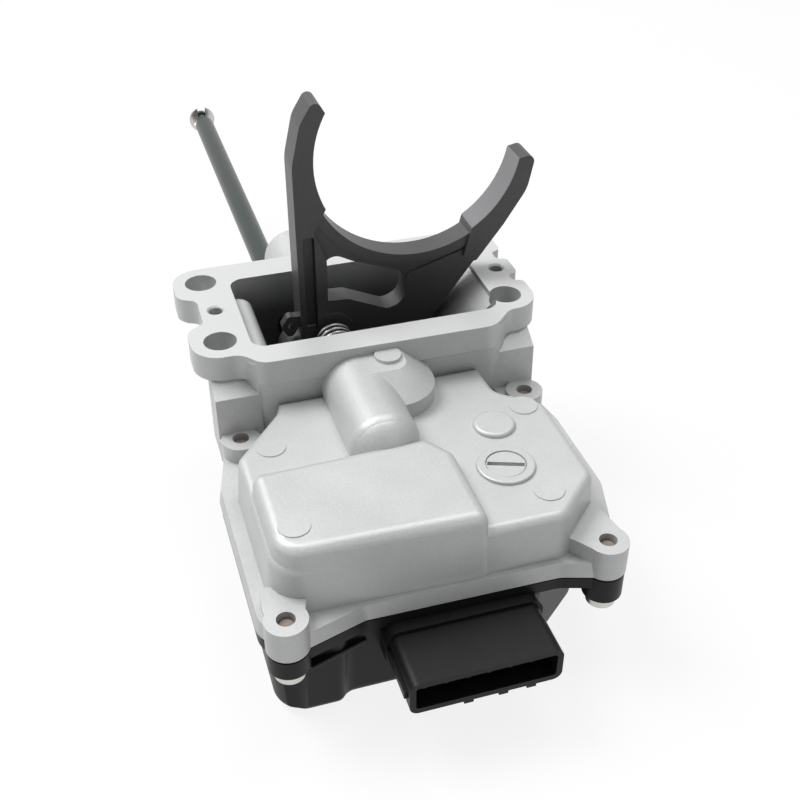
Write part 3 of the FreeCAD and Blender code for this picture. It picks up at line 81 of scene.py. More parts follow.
LEVEL_SLACK_MM = 0.12  # how far from its height a machined face may lie
FACING_UP = 0.97  # least upward part of the normal of such a face
FINE_DETAIL = 3.0  # noise of the grain and of the tool lines
FINE_ROUGHNESS = 0.6
CLOUD_DETAIL = 4.0
SPECK_SHARE = 0.45  # shares of the fine and the slow noise in a tone
CLOUD_SHARE = 0.55
MIX_PLACES = {"FLOAT": (2, 3, 0), "RGBA": (6, 7, 2)}  # a Mix node's two inputs and its result
MERGE_MM = 0.005  # points this close become one
FLAT_DEG = 0.5  # facets this close to one plane become one face
EDGE_DEG = 38.0  # edges sharper than this stay edges
BOX_STEPS = 3  # steps across a rounded edge of a box and of a copied node
COPY_STEPS = 2
OWN_FINISH = {"cover_screws": "cover_screw"}  # nodes whose finish isn't their slot's


def mm(value: float) -> float:
    """Millimetres as metres."""
    return value / 1000.0


# Shader building


def feed(tree: Tree, value: object, target: Socket) -> None:
    """Link a socket to another one, or set it.

    Args:
        tree: Node tree of both.
        value: Number, vector or socket.
        target: The input socket.
    """
    if isinstance(value, Socket):
        tree.links.new(value, target)
    else:
        target.default_value = value


def maths(tree: Tree, operation: str, first: object, second: object = 0.0) -> Socket:
    """Add one arithmetic step to a tree.

    Args:
        tree: Node tree.
        operation: Math node operation.
        first: Number or socket.
        second: Number or socket.

    Returns:
        The result's socket.
    """
    made = tree.nodes.new("ShaderNodeMath")
    made.operation = operation
    for target, value in zip(made.inputs, (first, second)):
        feed(tree, value, target)
    return made.outputs[0]


class ShaderGraph:
    """One material with its Principled shader and short calls for adding nodes."""

    def __init__(self, name: str) -> None:
        """Start an empty material with a Principled shader.

        Args:
            name: Name of the material.
        """
        self.material = bpy.data.materials.new(name)
        self.material.use_nodes = True
        self.tree = self.material.node_tree
        self.tree.nodes.clear()
        self.output = self.tree.nodes.new("ShaderNodeOutputMaterial")
        self.shader = self.tree.nodes.new("ShaderNodeBsdfPrincipled")
        self.tree.links.new(self.shader.outputs["BSDF"], self.output.inputs["Surface"])
        self.place = self.tree.nodes.new("ShaderNodeTexCoord").outputs["Object"]

    def link(self, source: Socket, target: Socket) -> None:
        """Join two sockets."""
        self.tree.links.new(source, target)

    def group(self, group: Tree, **values: object) -> Node:
        """Place a node group and set its inputs.

        Args:
            group: The shared node group.
            values: Input names, with underscores for spaces, and their values or sockets.

        Returns:
            The group node.
        """
        node = self.tree.nodes.new("ShaderNodeGroup")
        node.node_tree = group
        for key, value in values.items():
            feed(self.tree, value, node.inputs[key.replace("_", " ")])
        return node

    def mixed(self, kind: str, mask: Socket, first: object, second: object) -> Socket:
        """Add a mix of two values.

        Args:
            kind: FLOAT or RGBA.
            mask: Socket from 0 to 1.
            first: Value or socket at 0.
            second: Value or socket at 1.

        Returns:
            The mix's socket.
        """
        node = self.tree.nodes.new("ShaderNodeMix")
        node.data_type = kind
        first_at, second_at, result_at = MIX_PLACES[kind]
        self.link(mask, node.inputs["Factor"])
        feed(self.tree, first, node.inputs[first_at])
        feed(self.tree, second, node.inputs[second_at])
        return node.outputs[result_at]

    def blend(self, mask: Socket, first: object, second: object) -> Socket:
        """Colour mixed between two by a mask.

        Args:
            mask: Socket from 0 to 1.
            first: Colour or socket at 0.
            second: Colour or socket at 1.

        Returns:
            The mixed colour's socket.
        """
        solid = [value if isinstance(value, Socket) else (*value, 1.0)
                 for value in (first, second)]
        return self.mixed("RGBA", mask, *solid)

    def span(self, source: Socket, low: float, high: float) -> Socket:
        """Value from 0 to 1 stretched to a span.

        Args:
            source: Socket from 0 to 1.
            low: Result at 0.
            high: Result at 1.

        Returns:
            The stretched value's socket.
        """
        node = self.tree.nodes.new("ShaderNodeMapRange")
        self.link(source, node.inputs["Value"])
        node.inputs["To Min"].default_value = low
        node.inputs["To Max"].default_value = high
        return node.outputs["Result"]

    def mix_value(self, mask: Socket, first: object, second: object) -> Socket:
        """Number mixed between two by a mask."""
        return self.mixed("FLOAT", mask, first, second)

    def relief(self, height: Socket, depth_mm: float, strength: float) -> None:
        """Feed a height into the shader's normal.

        Args:
            height: Socket from 0 to 1.
            depth_mm: Depth of the relief.
            strength: Strength of the bump.
        """
        bump = self.tree.nodes.new("ShaderNodeBump")
        bump.inputs["Distance"].default_value = mm(depth_mm)
        bump.inputs["Strength"].default_value = strength
        self.link(height, bump.inputs["Height"])
        self.link(bump.outputs["Normal"], self.shader.inputs["Normal"])


class GroupSheet:
    """A node group under construction, with named inputs and outputs."""

    def __init__(self, name: str) -> None:
        """Start an empty group.

        Args:
            name: Name of the group.
        """
        self.tree = bpy.data.node_groups.new(name, "ShaderNodeTree")
        self.inlet = self.tree.nodes.new("NodeGroupInput")
        self.outlet = self.tree.nodes.new("NodeGroupOutput")

    def takes(self, name: str, kind: str, default: object = None) -> None:
        """Add an input socket.

        Args:
            name: Name of the input.
            kind: Socket type.
            default: Starting value.
        """
        socket = self.tree.interface.new_socket(name=name, in_out="INPUT", socket_type=kind)
        if default is not None:
            socket.default_value = default

    def gives(self, name: str) -> None:
        """Add a number output."""
        self.tree.interface.new_socket(name=name, in_out="OUTPUT", socket_type="NodeSocketFloat")

    def node(self, kind: str, **settings: object) -> Node:
        """Add a node with its settings.

        Args:
            kind: Node type.
            settings: Attributes to set on the node.

        Returns:
            The new node.
        """
        made = self.tree.nodes.new(kind)
        for key, value in settings.items():
            setattr(made, key, value)
        return made

    def link(self, source: Socket, target: Socket) -> None:
        """Join two sockets."""
        self.tree.links.new(source, target)

    def maths(self, operation: str, first: object, second: object = 0.0) -> Socket:
        """Add one arithmetic step."""
        return maths(self.tree, operation, first, second)


def grain_group() -> Tree:
    """Cast or moulded grain: fine height and a slow tone.

    Returns:
        The node group with Tone and Height outputs.
    """
    sheet = GroupSheet("surface grain")
    sheet.takes("Vector", "NodeSocketVector")
    sheet.takes("Grain per metre", "NodeSocketFloat", 1500.0)
    sheet.takes("Cloud per metre", "NodeSocketFloat", 60.0)
    sheet.gives("Tone")
    sheet.gives("Height")
    fine = sheet.node("ShaderNodeTexNoise")
    fine.inputs["Detail"].default_value = FINE_DETAIL
    fine.inputs["Roughness"].default_value = FINE_ROUGHNESS
    cloud = sheet.node("ShaderNodeTexNoise")
    cloud.inputs["Detail"].default_value = CLOUD_DETAIL
    for made, name in ((fine, "Grain per metre"), (cloud, "Cloud per metre")):
        sheet.link(sheet.inlet.outputs["Vector"], made.inputs["Vector"])
        sheet.link(sheet.inlet.outputs[name], made.inputs["Scale"])
    sheet.link(fine.outputs["Fac"], sheet.outlet.inputs["Height"])
    speck = sheet.maths("MULTIPLY", fine.outputs["Fac"], SPECK_SHARE)
    slow = sheet.maths("MULTIPLY", cloud.outputs["Fac"], CLOUD_SHARE)
    sheet.link(sheet.maths("ADD", speck, slow), sheet.outlet.inputs["Tone"])
    return sheet.tree


def level_mask_group() -> Tree:
    """Mask of flat faces that look up at one height, as a cutter leaves them.

    Returns:
        The node group with a Mask output.
    """
    sheet = GroupSheet("machined level")
    sheet.takes("Vector", "NodeSocketVector")
    sheet.takes("Level", "NodeSocketFloat", 0.0)
    sheet.gives("Mask")
    split = sheet.node("ShaderNodeSeparateXYZ")
    sheet.link(sheet.inlet.outputs["Vector"], split.inputs["Vector"])
    off = sheet.maths("ABSOLUTE", sheet.maths("SUBTRACT", split.outputs["Z"],
                                              sheet.inlet.outputs["Level"]))
    near = sheet.maths("LESS_THAN", off, mm(LEVEL_SLACK_MM))
    geometry = sheet.node("ShaderNodeNewGeometry")
    facing = sheet.node("ShaderNodeSeparateXYZ")
    sheet.link(geometry.outputs["True Normal"], facing.inputs["Vector"])
    flat = sheet.maths("GREATER_THAN", facing.outputs["Z"], FACING_UP)
    sheet.link(sheet.maths("MULTIPLY", near, flat), sheet.outlet.inputs["Mask"])
    return sheet.tree


def reach_mask_group() -> Tree:
    """Mask of what lies within a radius of an axis along Y, as a ground bore does.

    Returns:
        The node group with a Mask output.
    """
    sheet = GroupSheet("ground bore")
    sheet.takes("Vector", "NodeSocketVector")
    sheet.takes("Centre X", "NodeSocketFloat", 0.0)
    sheet.takes("Centre Z", "NodeSocketFloat", 0.0)
    sheet.takes("Radius", "NodeSocketFloat", 0.03)
    sheet.gives("Mask")
    split = sheet.node("ShaderNodeSeparateXYZ")
    sheet.link(sheet.inlet.outputs["Vector"], split.inputs["Vector"])
    dx = sheet.maths("SUBTRACT", split.outputs["X"], sheet.inlet.outputs["Centre X"])
    dz = sheet.maths("SUBTRACT", split.outputs["Z"], sheet.inlet.outputs["Centre Z"])
    squared = sheet.maths("ADD", sheet.maths("MULTIPLY", dx, dx), sheet.maths("MULTIPLY", dz, dz))
    away = sheet.maths("SQRT", squared)
    sheet.link(sheet.maths("LESS_THAN", away, sheet.inlet.outputs["Radius"]),
               sheet.outlet.inputs["Mask"])
    return sheet.tree


def painted_shade_depth_group() -> Tree:
    """Mask of painted shade, which grows with depth inside a rectangular well.

    Returns:
        The node group with a Mask output.
    """
    sheet = GroupSheet("well depth")
    sheet.takes("Vector", "NodeSocketVector")
    sheet.takes("Centre", "NodeSocketVector", (0.0, 0.0, 0.0))
    sheet.takes("Half width", "NodeSocketFloat", 0.04)
    sheet.takes("Half depth", "NodeSocketFloat", 0.02)
    sheet.takes("Fade", "NodeSocketFloat", 0.01)
    sheet.gives("Mask")
    away = sheet.node("ShaderNodeVectorMath", operation="SUBTRACT")
    sheet.link(sheet.inlet.outputs["Vector"], away.inputs[0])
    sheet.link(sheet.inlet.outputs["Centre"], away.inputs[1])
    split = sheet.node("ShaderNodeSeparateXYZ")
    sheet.link(away.outputs["Vector"], split.inputs["Vector"])
    within = [sheet.maths("LESS_THAN", sheet.maths("ABSOLUTE", split.outputs[axis]),
                          sheet.inlet.outputs[name])
              for axis, name in (("X", "Half width"), ("Y", "Half depth"))]
    sunk = sheet.maths("DIVIDE", sheet.maths("MULTIPLY", split.outputs["Z"], -1.0),
                       sheet.inlet.outputs["Fade"])
    capped = sheet.maths("MINIMUM", sheet.maths("MAXIMUM", sunk, 0.0), 1.0)
    inside = sheet.maths("MULTIPLY", within[0], within[1])
    sheet.link(sheet.maths("MULTIPLY", inside, capped), sheet.outlet.inputs["Mask"])
    return sheet.tree


def lines_group() -> Tree:
    """Fine tool lines: noise drawn out along one direction.

    Returns:
        The node group with a Height output.
    """
    sheet = GroupSheet("tool lines")
    sheet.takes("Vector", "NodeSocketVector")
    sheet.takes("Stretch", "NodeSocketVector", (1.0, 1.0, 1.0))
    sheet.gives("Height")
    product = sheet.node("ShaderNodeVectorMath", operation="MULTIPLY")
    sheet.link(sheet.inlet.outputs["Vector"], product.inputs[0])
    sheet.link(sheet.inlet.outputs["Stretch"], product.inputs[1])
    noise = sheet.node("ShaderNodeTexNoise")
    noise.inputs["Scale"].default_value = 1.0
    noise.inputs["Detail"].default_value = FINE_DETAIL
    sheet.link(product.outputs["Vector"], noise.inputs["Vector"])
    sheet.link(noise.outputs["Fac"], sheet.outlet.inputs["Height"])
    return sheet.tree


@dataclass(frozen=True)
class ShopGroups:
    """The shared node groups."""

    grain: Tree
    level: Tree
    reach: Tree
    lines: Tree
    depth: Tree


@dataclass(frozen=True)
class CastAluminium:
    """Bead-blasted die casting with bright machined faces, and painted shade that deepens inside
    the gear well.
    """

    name: str = "blasted casting"
    dark: Colour = (0.37, 0.373, 0.374)
    light: Colour = (0.61, 0.613, 0.614)
    machined: Colour = (0.60, 0.603, 0.603)
    machined_level_mm: float = 0.0
    # colour of the painted shade at the bottom of the gear well
    painted_shade: Colour = (0.13, 0.13, 0.128)
    well_centre_mm: Place = (2.25, -3.85, -1.6)
    well_half_mm: Span = (40.5, 21.9)
    well_fade_mm: float = 12.0
    grain_per_metre: float = 1400.0
    cloud_per_metre: float = 45.0
    tool_stretch: Place = (260.0, 2600.0, 400.0)
    tool_height: Span = (0.35, 0.5)
    rough: Span = (0.4, 0.54)
    machined_rough: float = 0.36
    metallic: float = 0.3
    depth_mm: float = 0.16
    strength: float = 0.55

    def build(self, groups: ShopGroups) -> Material:
        """Make the material.

        Args:
            groups: Shared node groups.

        Returns:
            The material.
        """
        graph = ShaderGraph(self.name)
        grain = graph.group(groups.grain, Vector=graph.place,
                            Grain_per_metre=self.grain_per_metre,
                            Cloud_per_metre=self.cloud_per_metre)
        lines = graph.group(groups.lines, Vector=graph.place, Stretch=self.tool_stretch)
        level = graph.group(groups.level, Vector=graph.place, Level=mm(self.machined_level_mm))
        mask = level.outputs["Mask"]
        cast = graph.blend(grain.outputs["Tone"], self.dark, self.light)
        # painted shade: the casting darkens with depth inside the gear well, towards the shade
        # colour
        well = graph.group(groups.depth, Vector=graph.place,
                           Centre=[mm(value) for value in self.well_centre_mm],
                           Half_width=mm(self.well_half_mm[0]),
                           Half_depth=mm(self.well_half_mm[1]), Fade=mm(self.well_fade_mm))
        cast_with_painted_shade = graph.blend(well.outputs["Mask"], cast, self.painted_shade)
        graph.link(graph.blend(mask, cast_with_painted_shade, self.machined), graph.shader.inputs["Base Color"])
        rough = graph.span(grain.outputs["Tone"], *self.rough)
        graph.link(graph.mix_value(mask, rough, self.machined_rough),
                   graph.shader.inputs["Roughness"])
        graph.shader.inputs["Metallic"].default_value = self.metallic
        soft_lines = graph.span(lines.outputs["Height"], *self.tool_height)
        graph.relief(graph.mix_value(mask, grain.outputs["Height"], soft_lines), self.depth_mm,
                     self.strength)
        return graph.material


@dataclass(frozen=True)
class MouldedPlastic:
    """Filled plastic with a fine moulded grain."""

    name: str
    dark: Colour
    light: Colour
    rough: Span = (0.38, 0.5)
    grain_per_metre: float = 1700.0
    depth_mm: float = 0.05
    specular: float = 0.5
    cloud_per_metre: float = 70.0
    strength: float = 0.5

    def build(self, groups: ShopGroups) -> Material:
        """Make the material.

        Args:
            groups: Shared node groups.

        Returns:
            The material.
        """
        graph = ShaderGraph(self.name)
        grain = graph.group(groups.grain, Vector=graph.place,
                            Grain_per_metre=self.grain_per_metre,
                            Cloud_per_metre=self.cloud_per_metre)
        graph.link(graph.blend(grain.outputs["Tone"], self.dark, self.light),
                   graph.shader.inputs["Base Color"])
        graph.link(graph.span(grain.outputs["Tone"], *self.rough),
                   graph.shader.inputs["Roughness"])
        graph.shader.inputs["Specular IOR Level"].default_value = self.specular
        graph.relief(grain.outputs["Height"], self.depth_mm, self.strength)
        return graph.material


@dataclass(frozen=True)
class ForkSteel:
    """Dark phosphated fork with lighter ground pads in its bore."""

    name: str = "phosphated fork"
    dark: Colour = (0.040, 0.040, 0.042)
    light: Colour = (0.075, 0.075, 0.078)
    ground: Colour = (0.20, 0.20, 0.205)
    bore_x_mm: float = 21.0
    bore_z_mm: float = 45.4
    pad_r_mm: float = 32.75
    grain_per_metre: float = 900.0
    cloud_per_metre: float = 55.0
    rough: Span = (0.36, 0.5)
    ground_rough: float = 0.3
    metallic: float = 0.25
    depth_mm: float = 0.12
    strength: float = 0.45

    def build(self, groups: ShopGroups) -> Material:
        """Make the material.

        Args:
            groups: Shared node groups.

        Returns:
            The material.
        """
        graph = ShaderGraph(self.name)
        grain = graph.group(groups.grain, Vector=graph.place,
                            Grain_per_metre=self.grain_per_metre,
                            Cloud_per_metre=self.cloud_per_metre)
        bore = graph.group(groups.reach, Vector=graph.place, Centre_X=mm(self.bore_x_mm),
                           Centre_Z=mm(self.bore_z_mm), Radius=mm(self.pad_r_mm))
        body = graph.blend(grain.outputs["Tone"], self.dark, self.light)
        graph.link(graph.blend(bore.outputs["Mask"], body, self.ground),
                   graph.shader.inputs["Base Color"])
        rough = graph.span(grain.outputs["Tone"], *self.rough)
        graph.link(graph.mix_value(bore.outputs["Mask"], rough, self.ground_rough),
                   graph.shader.inputs["Roughness"])
        graph.shader.inputs["Metallic"].default_value = self.metallic
        graph.relief(grain.outputs["Height"], self.depth_mm, self.strength)
        return graph.material


@dataclass(frozen=True)
class ScrewSteel:
    """Zinc-plated screw whose end, in its hole, is coloured darker, browner and less metallic."""

    name: str = "cover screw"
    plate: Colour = (0.62, 0.61, 0.57)
    end_dark: Colour = (0.16, 0.10, 0.065)
    end_light: Colour = (0.30, 0.27, 0.23)
    level_mm: float = -30.0
    grain_per_metre: float = 1500.0
    cloud_per_metre: float = 700.0
    rough: Span = (0.3, 0.7)  # where plated, at the darker end
    metallic: Span = (0.85, 0.2)
    depth_mm: float = 0.05
    strength: float = 0.4

    def build(self, groups: ShopGroups) -> Material:
        """Make the material.

        Args:
            groups: Shared node groups.

        Returns:
            The material.
        """
        graph = ShaderGraph(self.name)
        grain = graph.group(groups.grain, Vector=graph.place,
                            Grain_per_metre=self.grain_per_metre,
                            Cloud_per_metre=self.cloud_per_metre)
        split = graph.tree.nodes.new("ShaderNodeSeparateXYZ")
        graph.link(graph.place, split.inputs["Vector"])
        # below the set height the screw is coloured darker and browner and is less metallic
        high = maths(graph.tree, "GREATER_THAN", split.outputs["Z"], mm(self.level_mm))
        tip = graph.blend(grain.outputs["Tone"], self.end_dark, self.end_light)
        graph.link(graph.blend(high, self.plate, tip), graph.shader.inputs["Base Color"])
        graph.link(graph.mix_value(high, *self.rough), graph.shader.inputs["Roughness"])
        graph.link(graph.mix_value(high, *self.metallic), graph.shader.inputs["Metallic"])
        graph.relief(grain.outputs["Height"], self.depth_mm, self.strength)
        return graph.material


@dataclass(frozen=True)
class TurnedMetal:
    """Turned, ground or plated metal with fine tool lines."""

    name: str
    dark: Colour
    light: Colour
    rough: Span = (0.22, 0.34)
    metallic: float = 0.9
    stretch: Place = (300.0, 3000.0, 300.0)
    depth_mm: float = 0.02
    grain_per_metre: float = 500.0
    cloud_per_metre: float = 90.0
    strength: float = 0.5

    def build(self, groups: ShopGroups) -> Material:
        """Make the material.

        Args:
            groups: Shared node groups.

        Returns:
            The material.
        """
        graph = ShaderGraph(self.name)
        lines = graph.group(groups.lines, Vector=graph.place, Stretch=self.stretch)
        grain = graph.group(groups.grain, Vector=graph.place,
                            Grain_per_metre=self.grain_per_metre,
                            Cloud_per_metre=self.cloud_per_metre)
        graph.link(graph.blend(grain.outputs["Tone"], self.dark, self.light),
                   graph.shader.inputs["Base Color"])
        graph.link(graph.span(lines.outputs["Height"], *self.rough),
                   graph.shader.inputs["Roughness"])
        graph.shader.inputs["Metallic"].default_value = self.metallic
        graph.relief(lines.outputs["Height"], self.depth_mm, self.strength)
        return graph.material


class PaintShop:
    """Makes every finish once and hands it out by material slot."""

    def __init__(self) -> None:
        """Build the shared groups and the finishes."""
        groups = ShopGroups(grain_group(), level_mask_group(), reach_mask_group(), lines_group(),
                            painted_shade_depth_group())
        finishes = {
            "cast_aluminium": CastAluminium(),
            "black_plastic": MouldedPlastic("black cover plastic", (0.004, 0.0045, 0.004),
                                            (0.009, 0.0095, 0.009), (0.36, 0.48),
                                            specular=0.2),
            "black_rubber": MouldedPlastic("black rubber", (0.012, 0.012, 0.012),
                                           (0.022, 0.022, 0.022), (0.6, 0.75),
                                           grain_per_metre=900.0, depth_mm=0.08),
            "zinc_steel": TurnedMetal("zinc plate", (0.56, 0.55, 0.52), (0.72, 0.71, 0.68)),
            "fork_iron": ForkSteel(),
            "ground_steel": TurnedMetal("dark ground steel", (0.012, 0.022, 0.019),
                                        (0.022, 0.036, 0.032), (0.24, 0.34), metallic=0.15,
                                        stretch=(2400.0, 160.0, 2400.0), depth_mm=0.004),
            "cover_screw": ScrewSteel(),
            "spring_steel": TurnedMetal("spring steel", (0.20, 0.20, 0.205), (0.32, 0.32, 0.325)),
            "bronze": TurnedMetal("sintered bronze", (0.42, 0.27, 0.12), (0.56, 0.38, 0.19),
                                  (0.35, 0.5)),
            "gear_steel": TurnedMetal("cut gear steel", (0.38, 0.38, 0.39), (0.52, 0.52, 0.53)),
            "gear_plastic": MouldedPlastic("natural gear plastic", (0.66, 0.64, 0.56),
                                           (0.74, 0.72, 0.65), (0.35, 0.45)),
            "magnet": MouldedPlastic("ferrite", (0.035, 0.035, 0.037), (0.055, 0.055, 0.058),
                                     (0.5, 0.65)),
            "lamination": TurnedMetal("laminations", (0.22, 0.22, 0.23), (0.34, 0.34, 0.35),
                                      (0.3, 0.5), metallic=0.8,
                                      stretch=(4000.0, 200.0, 200.0), depth_mm=0.05),
            "copper": TurnedMetal("commutator copper", (0.58, 0.30, 0.17), (0.70, 0.40, 0.25)),
            "contact_metal": TurnedMetal("tinned contacts", (0.60, 0.55, 0.42),
                                         (0.74, 0.68, 0.52)),
            "carbon": MouldedPlastic("carbon", (0.02, 0.02, 0.021), (0.035, 0.035, 0.036),
                                     (0.45, 0.6)),
            "board_green": MouldedPlastic("board laminate", (0.015, 0.09, 0.04),
                                          (0.025, 0.13, 0.06), (0.25, 0.35)),
            "amber_film": MouldedPlastic("amber film", (0.42, 0.2, 0.03), (0.55, 0.28, 0.05),
                                         (0.2, 0.3)),
        }
        self.materials = {slot: finish.build(groups) for slot, finish in finishes.items()}

    def dress(self, piece: Piece, slot: str) -> None:
        """Give a piece its finish.

        Args:
            piece: The object.
            slot: Material slot of the record.
        """
        piece.data.materials.clear()
        piece.data.materials.append(self.materials[slot])

    def dress_frame(self) -> None:
        """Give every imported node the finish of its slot."""
        for part in frame["record"]["subparts"]:
            node = frame["nodes"][part["node"]]
            self.dress(node, OWN_FINISH.get(part["node"], part["material_slot"]))


# Pieces made in place of plainer solids, or added to them


class Bench:
    """Short calls for modelling a piece with operators."""

    def __init__(self, shop: PaintShop) -> None:
        """Keep the finishes at hand.

        Args:
            shop: The finishes.
        """
        self.shop = shop

    def pick(self, piece: Piece) -> None:
        """Make a piece the only selected and active one.

        Args:
            piece: The piece.
        """
        bpy.ops.object.select_all(action="DESELECT")
        piece.select_set(True)
        bpy.context.view_layer.objects.active = piece

    def apply(self, piece: Piece) -> None:
        """Apply every modifier and the place of a piece.

        Args:
            piece: The piece.
        """
        self.pick(piece)
        for modifier in list(piece.modifiers):
            bpy.ops.object.modifier_apply(modifier=modifier.name)
        bpy.ops.object.transform_apply(location=True, rotation=True, scale=True)

    def edit(self, piece: Piece) -> None:
        """Enter edit mode with all of a piece selected.

        Args:
            piece: The piece.
        """
        self.pick(piece)
        bpy.ops.object.mode_set(mode="EDIT")
        bpy.ops.mesh.select_all(action="SELECT")

    def box(self, low_mm: Place, high_mm: Place, bevel_mm: float, name: str) -> Piece:
        """Box with rounded edges.

        Args:
            low_mm: Lowest corner.
            high_mm: Highest corner.
            bevel_mm: Edge radius.
            name: Name of the piece.

        Returns:
            The box.
        """
        middle = [mm((a + b) / 2) for a, b in zip(low_mm, high_mm)]
        bpy.ops.object.select_all(action="DESELECT")
        bpy.ops.mesh.primitive_cube_add(size=1.0, location=middle)
        piece = bpy.context.object
        piece.name = name
        piece.scale = [mm(b - a) for a, b in zip(low_mm, high_mm)]
        bpy.ops.object.transform_apply(location=True, rotation=True, scale=True)
        bevel = piece.modifiers.new("edge", "BEVEL")
        bevel.width = mm(bevel_mm)
        bevel.segments = BOX_STEPS
        self.apply(piece)
        return piece

    def copy_of(self, node: str, name: str) -> Piece:
        """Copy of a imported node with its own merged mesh, free of its body.

        Args:
            node: Node to copy.
            name: Name of the copy.

        Returns:
            The copy.
        """
        self.pick(frame["nodes"][node])
        bpy.ops.object.duplicate()
        piece = bpy.context.object
        bpy.ops.object.parent_clear(type="CLEAR_KEEP_TRANSFORM")
        bpy.ops.object.transform_apply(location=True, rotation=True, scale=True)
        for key in [key for key in piece.keys() if key.startswith("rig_")]:
            del piece[key]
        piece.name = name
        self.edit(piece)
        bpy.ops.mesh.remove_doubles(threshold=mm(MERGE_MM))
        bpy.ops.object.mode_set(mode="OBJECT")
        return piece

    def trim(self, piece: Piece, place_mm: Place, away: Place) -> None:
        """Cut off what lies past a plane, and close the cut.

        Args:
            piece: The piece.
            place_mm: A point of the plane.
            away: Direction of the side that goes.
        """
        self.edit(piece)
        bpy.ops.mesh.bisect(plane_co=[mm(value) for value in place_mm], plane_no=away,
                            use_fill=True, clear_outer=True)
        bpy.ops.mesh.select_all(action="SELECT")
        bpy.ops.mesh.normals_make_consistent(inside=False)
        bpy.ops.object.mode_set(mode="OBJECT")

    def carve(self, piece: Piece, cutter: Piece) -> None:
        """Cut a piece with another, which is used up.

        Args:
            piece: The piece.
            cutter: The shape to take away.
        """
        cut = piece.modifiers.new("carve", "BOOLEAN")
        cut.operation = "DIFFERENCE"
        cut.solver = "EXACT"
        cut.object = cutter
        self.apply(piece)
        self.pick(cutter)
        bpy.ops.object.delete()

    def soften(self, piece: Piece, radius_mm: float) -> None:
        """Join the flat facets of a copied node and round its sharp edges.

        Args:
            piece: The copy, cut or whole.
            radius_mm: Radius of the edges.
        """
        self.edit(piece)
        bpy.ops.mesh.remove_doubles(threshold=mm(MERGE_MM))
        bpy.ops.mesh.dissolve_limited(angle_limit=math.radians(FLAT_DEG))
        bpy.ops.object.mode_set(mode="OBJECT")
        bevel = piece.modifiers.new("edge", "BEVEL")
        bevel.width = mm(radius_mm)
        bevel.segments = COPY_STEPS
        bevel.limit_method = "ANGLE"
        bevel.angle_limit = math.radians(EDGE_DEG)
        bevel.use_clamp_overlap = True
        self.apply(piece)
        bpy.ops.object.shade_smooth_by_angle(angle=math.radians(EDGE_DEG))
        even = piece.modifiers.new("even normals", "WEIGHTED_NORMAL")
        even.keep_sharp = True
        self.apply(piece)

    def finish(self, piece: Piece, body: str, slot: str, node: str = "") -> None:
        """Give a piece its finish and its body, and hide the node that it stands for.

        Args:
            piece: The piece.
            body: Body that carries it.
            slot: Material slot.
            node: Node that it replaces, if any.
        """
        self.shop.dress(piece, slot)
        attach(piece, body)
        if node:
            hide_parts(node)
        LOG.info("made %s with %d faces", piece.name, len(piece.data.polygons))


@dataclass(frozen=True)
class RoundSpring:
    """Waiting spring wound from round wire."""

    wire_mm: float = 1.3
    turns: float = 4.5
    sides: int = 14
    steps_per_turn: int = 40
    smooth_deg: float = 50.0

    def build(self, bench: Bench) -> None:
        """Wind the spring into the space of its node.

        Args:
            bench: Modelling calls.
        """
        node = frame["nodes"]["waiting_spring"]
        corners = [node.matrix_world @ Vector(corner) for corner in node.bound_box]
        low = Vector([min(axis) for axis in zip(*corners)])
        high = Vector([max(axis) for axis in zip(*corners)])
        wire_r = mm(self.wire_mm / 2)
        reach = (high.z - low.z) / 2 - wire_r
        bpy.ops.object.select_all(action="DESELECT")
        bpy.ops.mesh.primitive_circle_add(vertices=self.sides, radius=wire_r,
                                          location=(reach, 0.0, 0.0),
                                          rotation=(math.pi / 2, 0.0, 0.0))
        piece = bpy.context.object
        piece.name = "round_waiting_spring"
        bpy.ops.object.transform_apply(location=True, rotation=True, scale=True)
        wind = piece.modifiers.new("wind", "SCREW")
        wind.angle = 2 * math.pi * self.turns
        wind.screw_offset = high.y - low.y - 2 * wire_r
        wind.steps = int(self.turns * self.steps_per_turn)
        wind.render_steps = wind.steps
        bench.apply(piece)
        piece.rotation_euler = (-math.pi / 2, 0.0, 0.0)
        piece.location = ((low.x + high.x) / 2, low.y + wire_r, (low.z + high.z) / 2)
        bench.apply(piece)
        bench.edit(piece)
        bpy.ops.mesh.fill_holes(sides=0)
        bpy.ops.mesh.normals_make_consistent(inside=False)
        bpy.ops.object.mode_set(mode="OBJECT")
        bpy.ops.object.shade_smooth_by_angle(angle=math.radians(self.smooth_deg))
        bench.finish(piece, "drive_rod_body", "spring_steel", "waiting_spring")


@dataclass(frozen=True)
class CastFork:
    """Fork with the rounded edges of a casting and the long pocket of its left leg."""

    pocket_low_mm: Place = (-16.1, -6.0, -10.5)
    pocket_high_mm: Place = (-12.4, -1.6, 22.5)
    pocket_edge_mm: float = 0.7
    edge_mm: float = 0.45

    def build(self, bench: Bench) -> None:
        """Cut and soften a copy of the fork.

        Args:
            bench: Modelling calls.
        """
        piece = bench.copy_of("shift_fork", "cast_fork")
        cutter = bench.box(self.pocket_low_mm, self.pocket_high_mm, self.pocket_edge_mm,
                           "pocket_cutter")
        bench.carve(piece, cutter)
        bench.soften(piece, self.edge_mm)
        bench.finish(piece, "shift_fork_body", "fork_iron", "shift_fork")


@dataclass(frozen=True)
class CastHousing:
    """Gear housing with the soft edges of a blasted casting."""

    edge_mm: float = 0.4

    def build(self, bench: Bench) -> None:
        """Soften a copy of the housing.

        Args:
            bench: Modelling calls.
        """
        piece = bench.copy_of("gear_housing", "cast_housing")
        bench.soften(piece, self.edge_mm)
        bench.finish(piece, "casting", "cast_aluminium", "gear_housing")


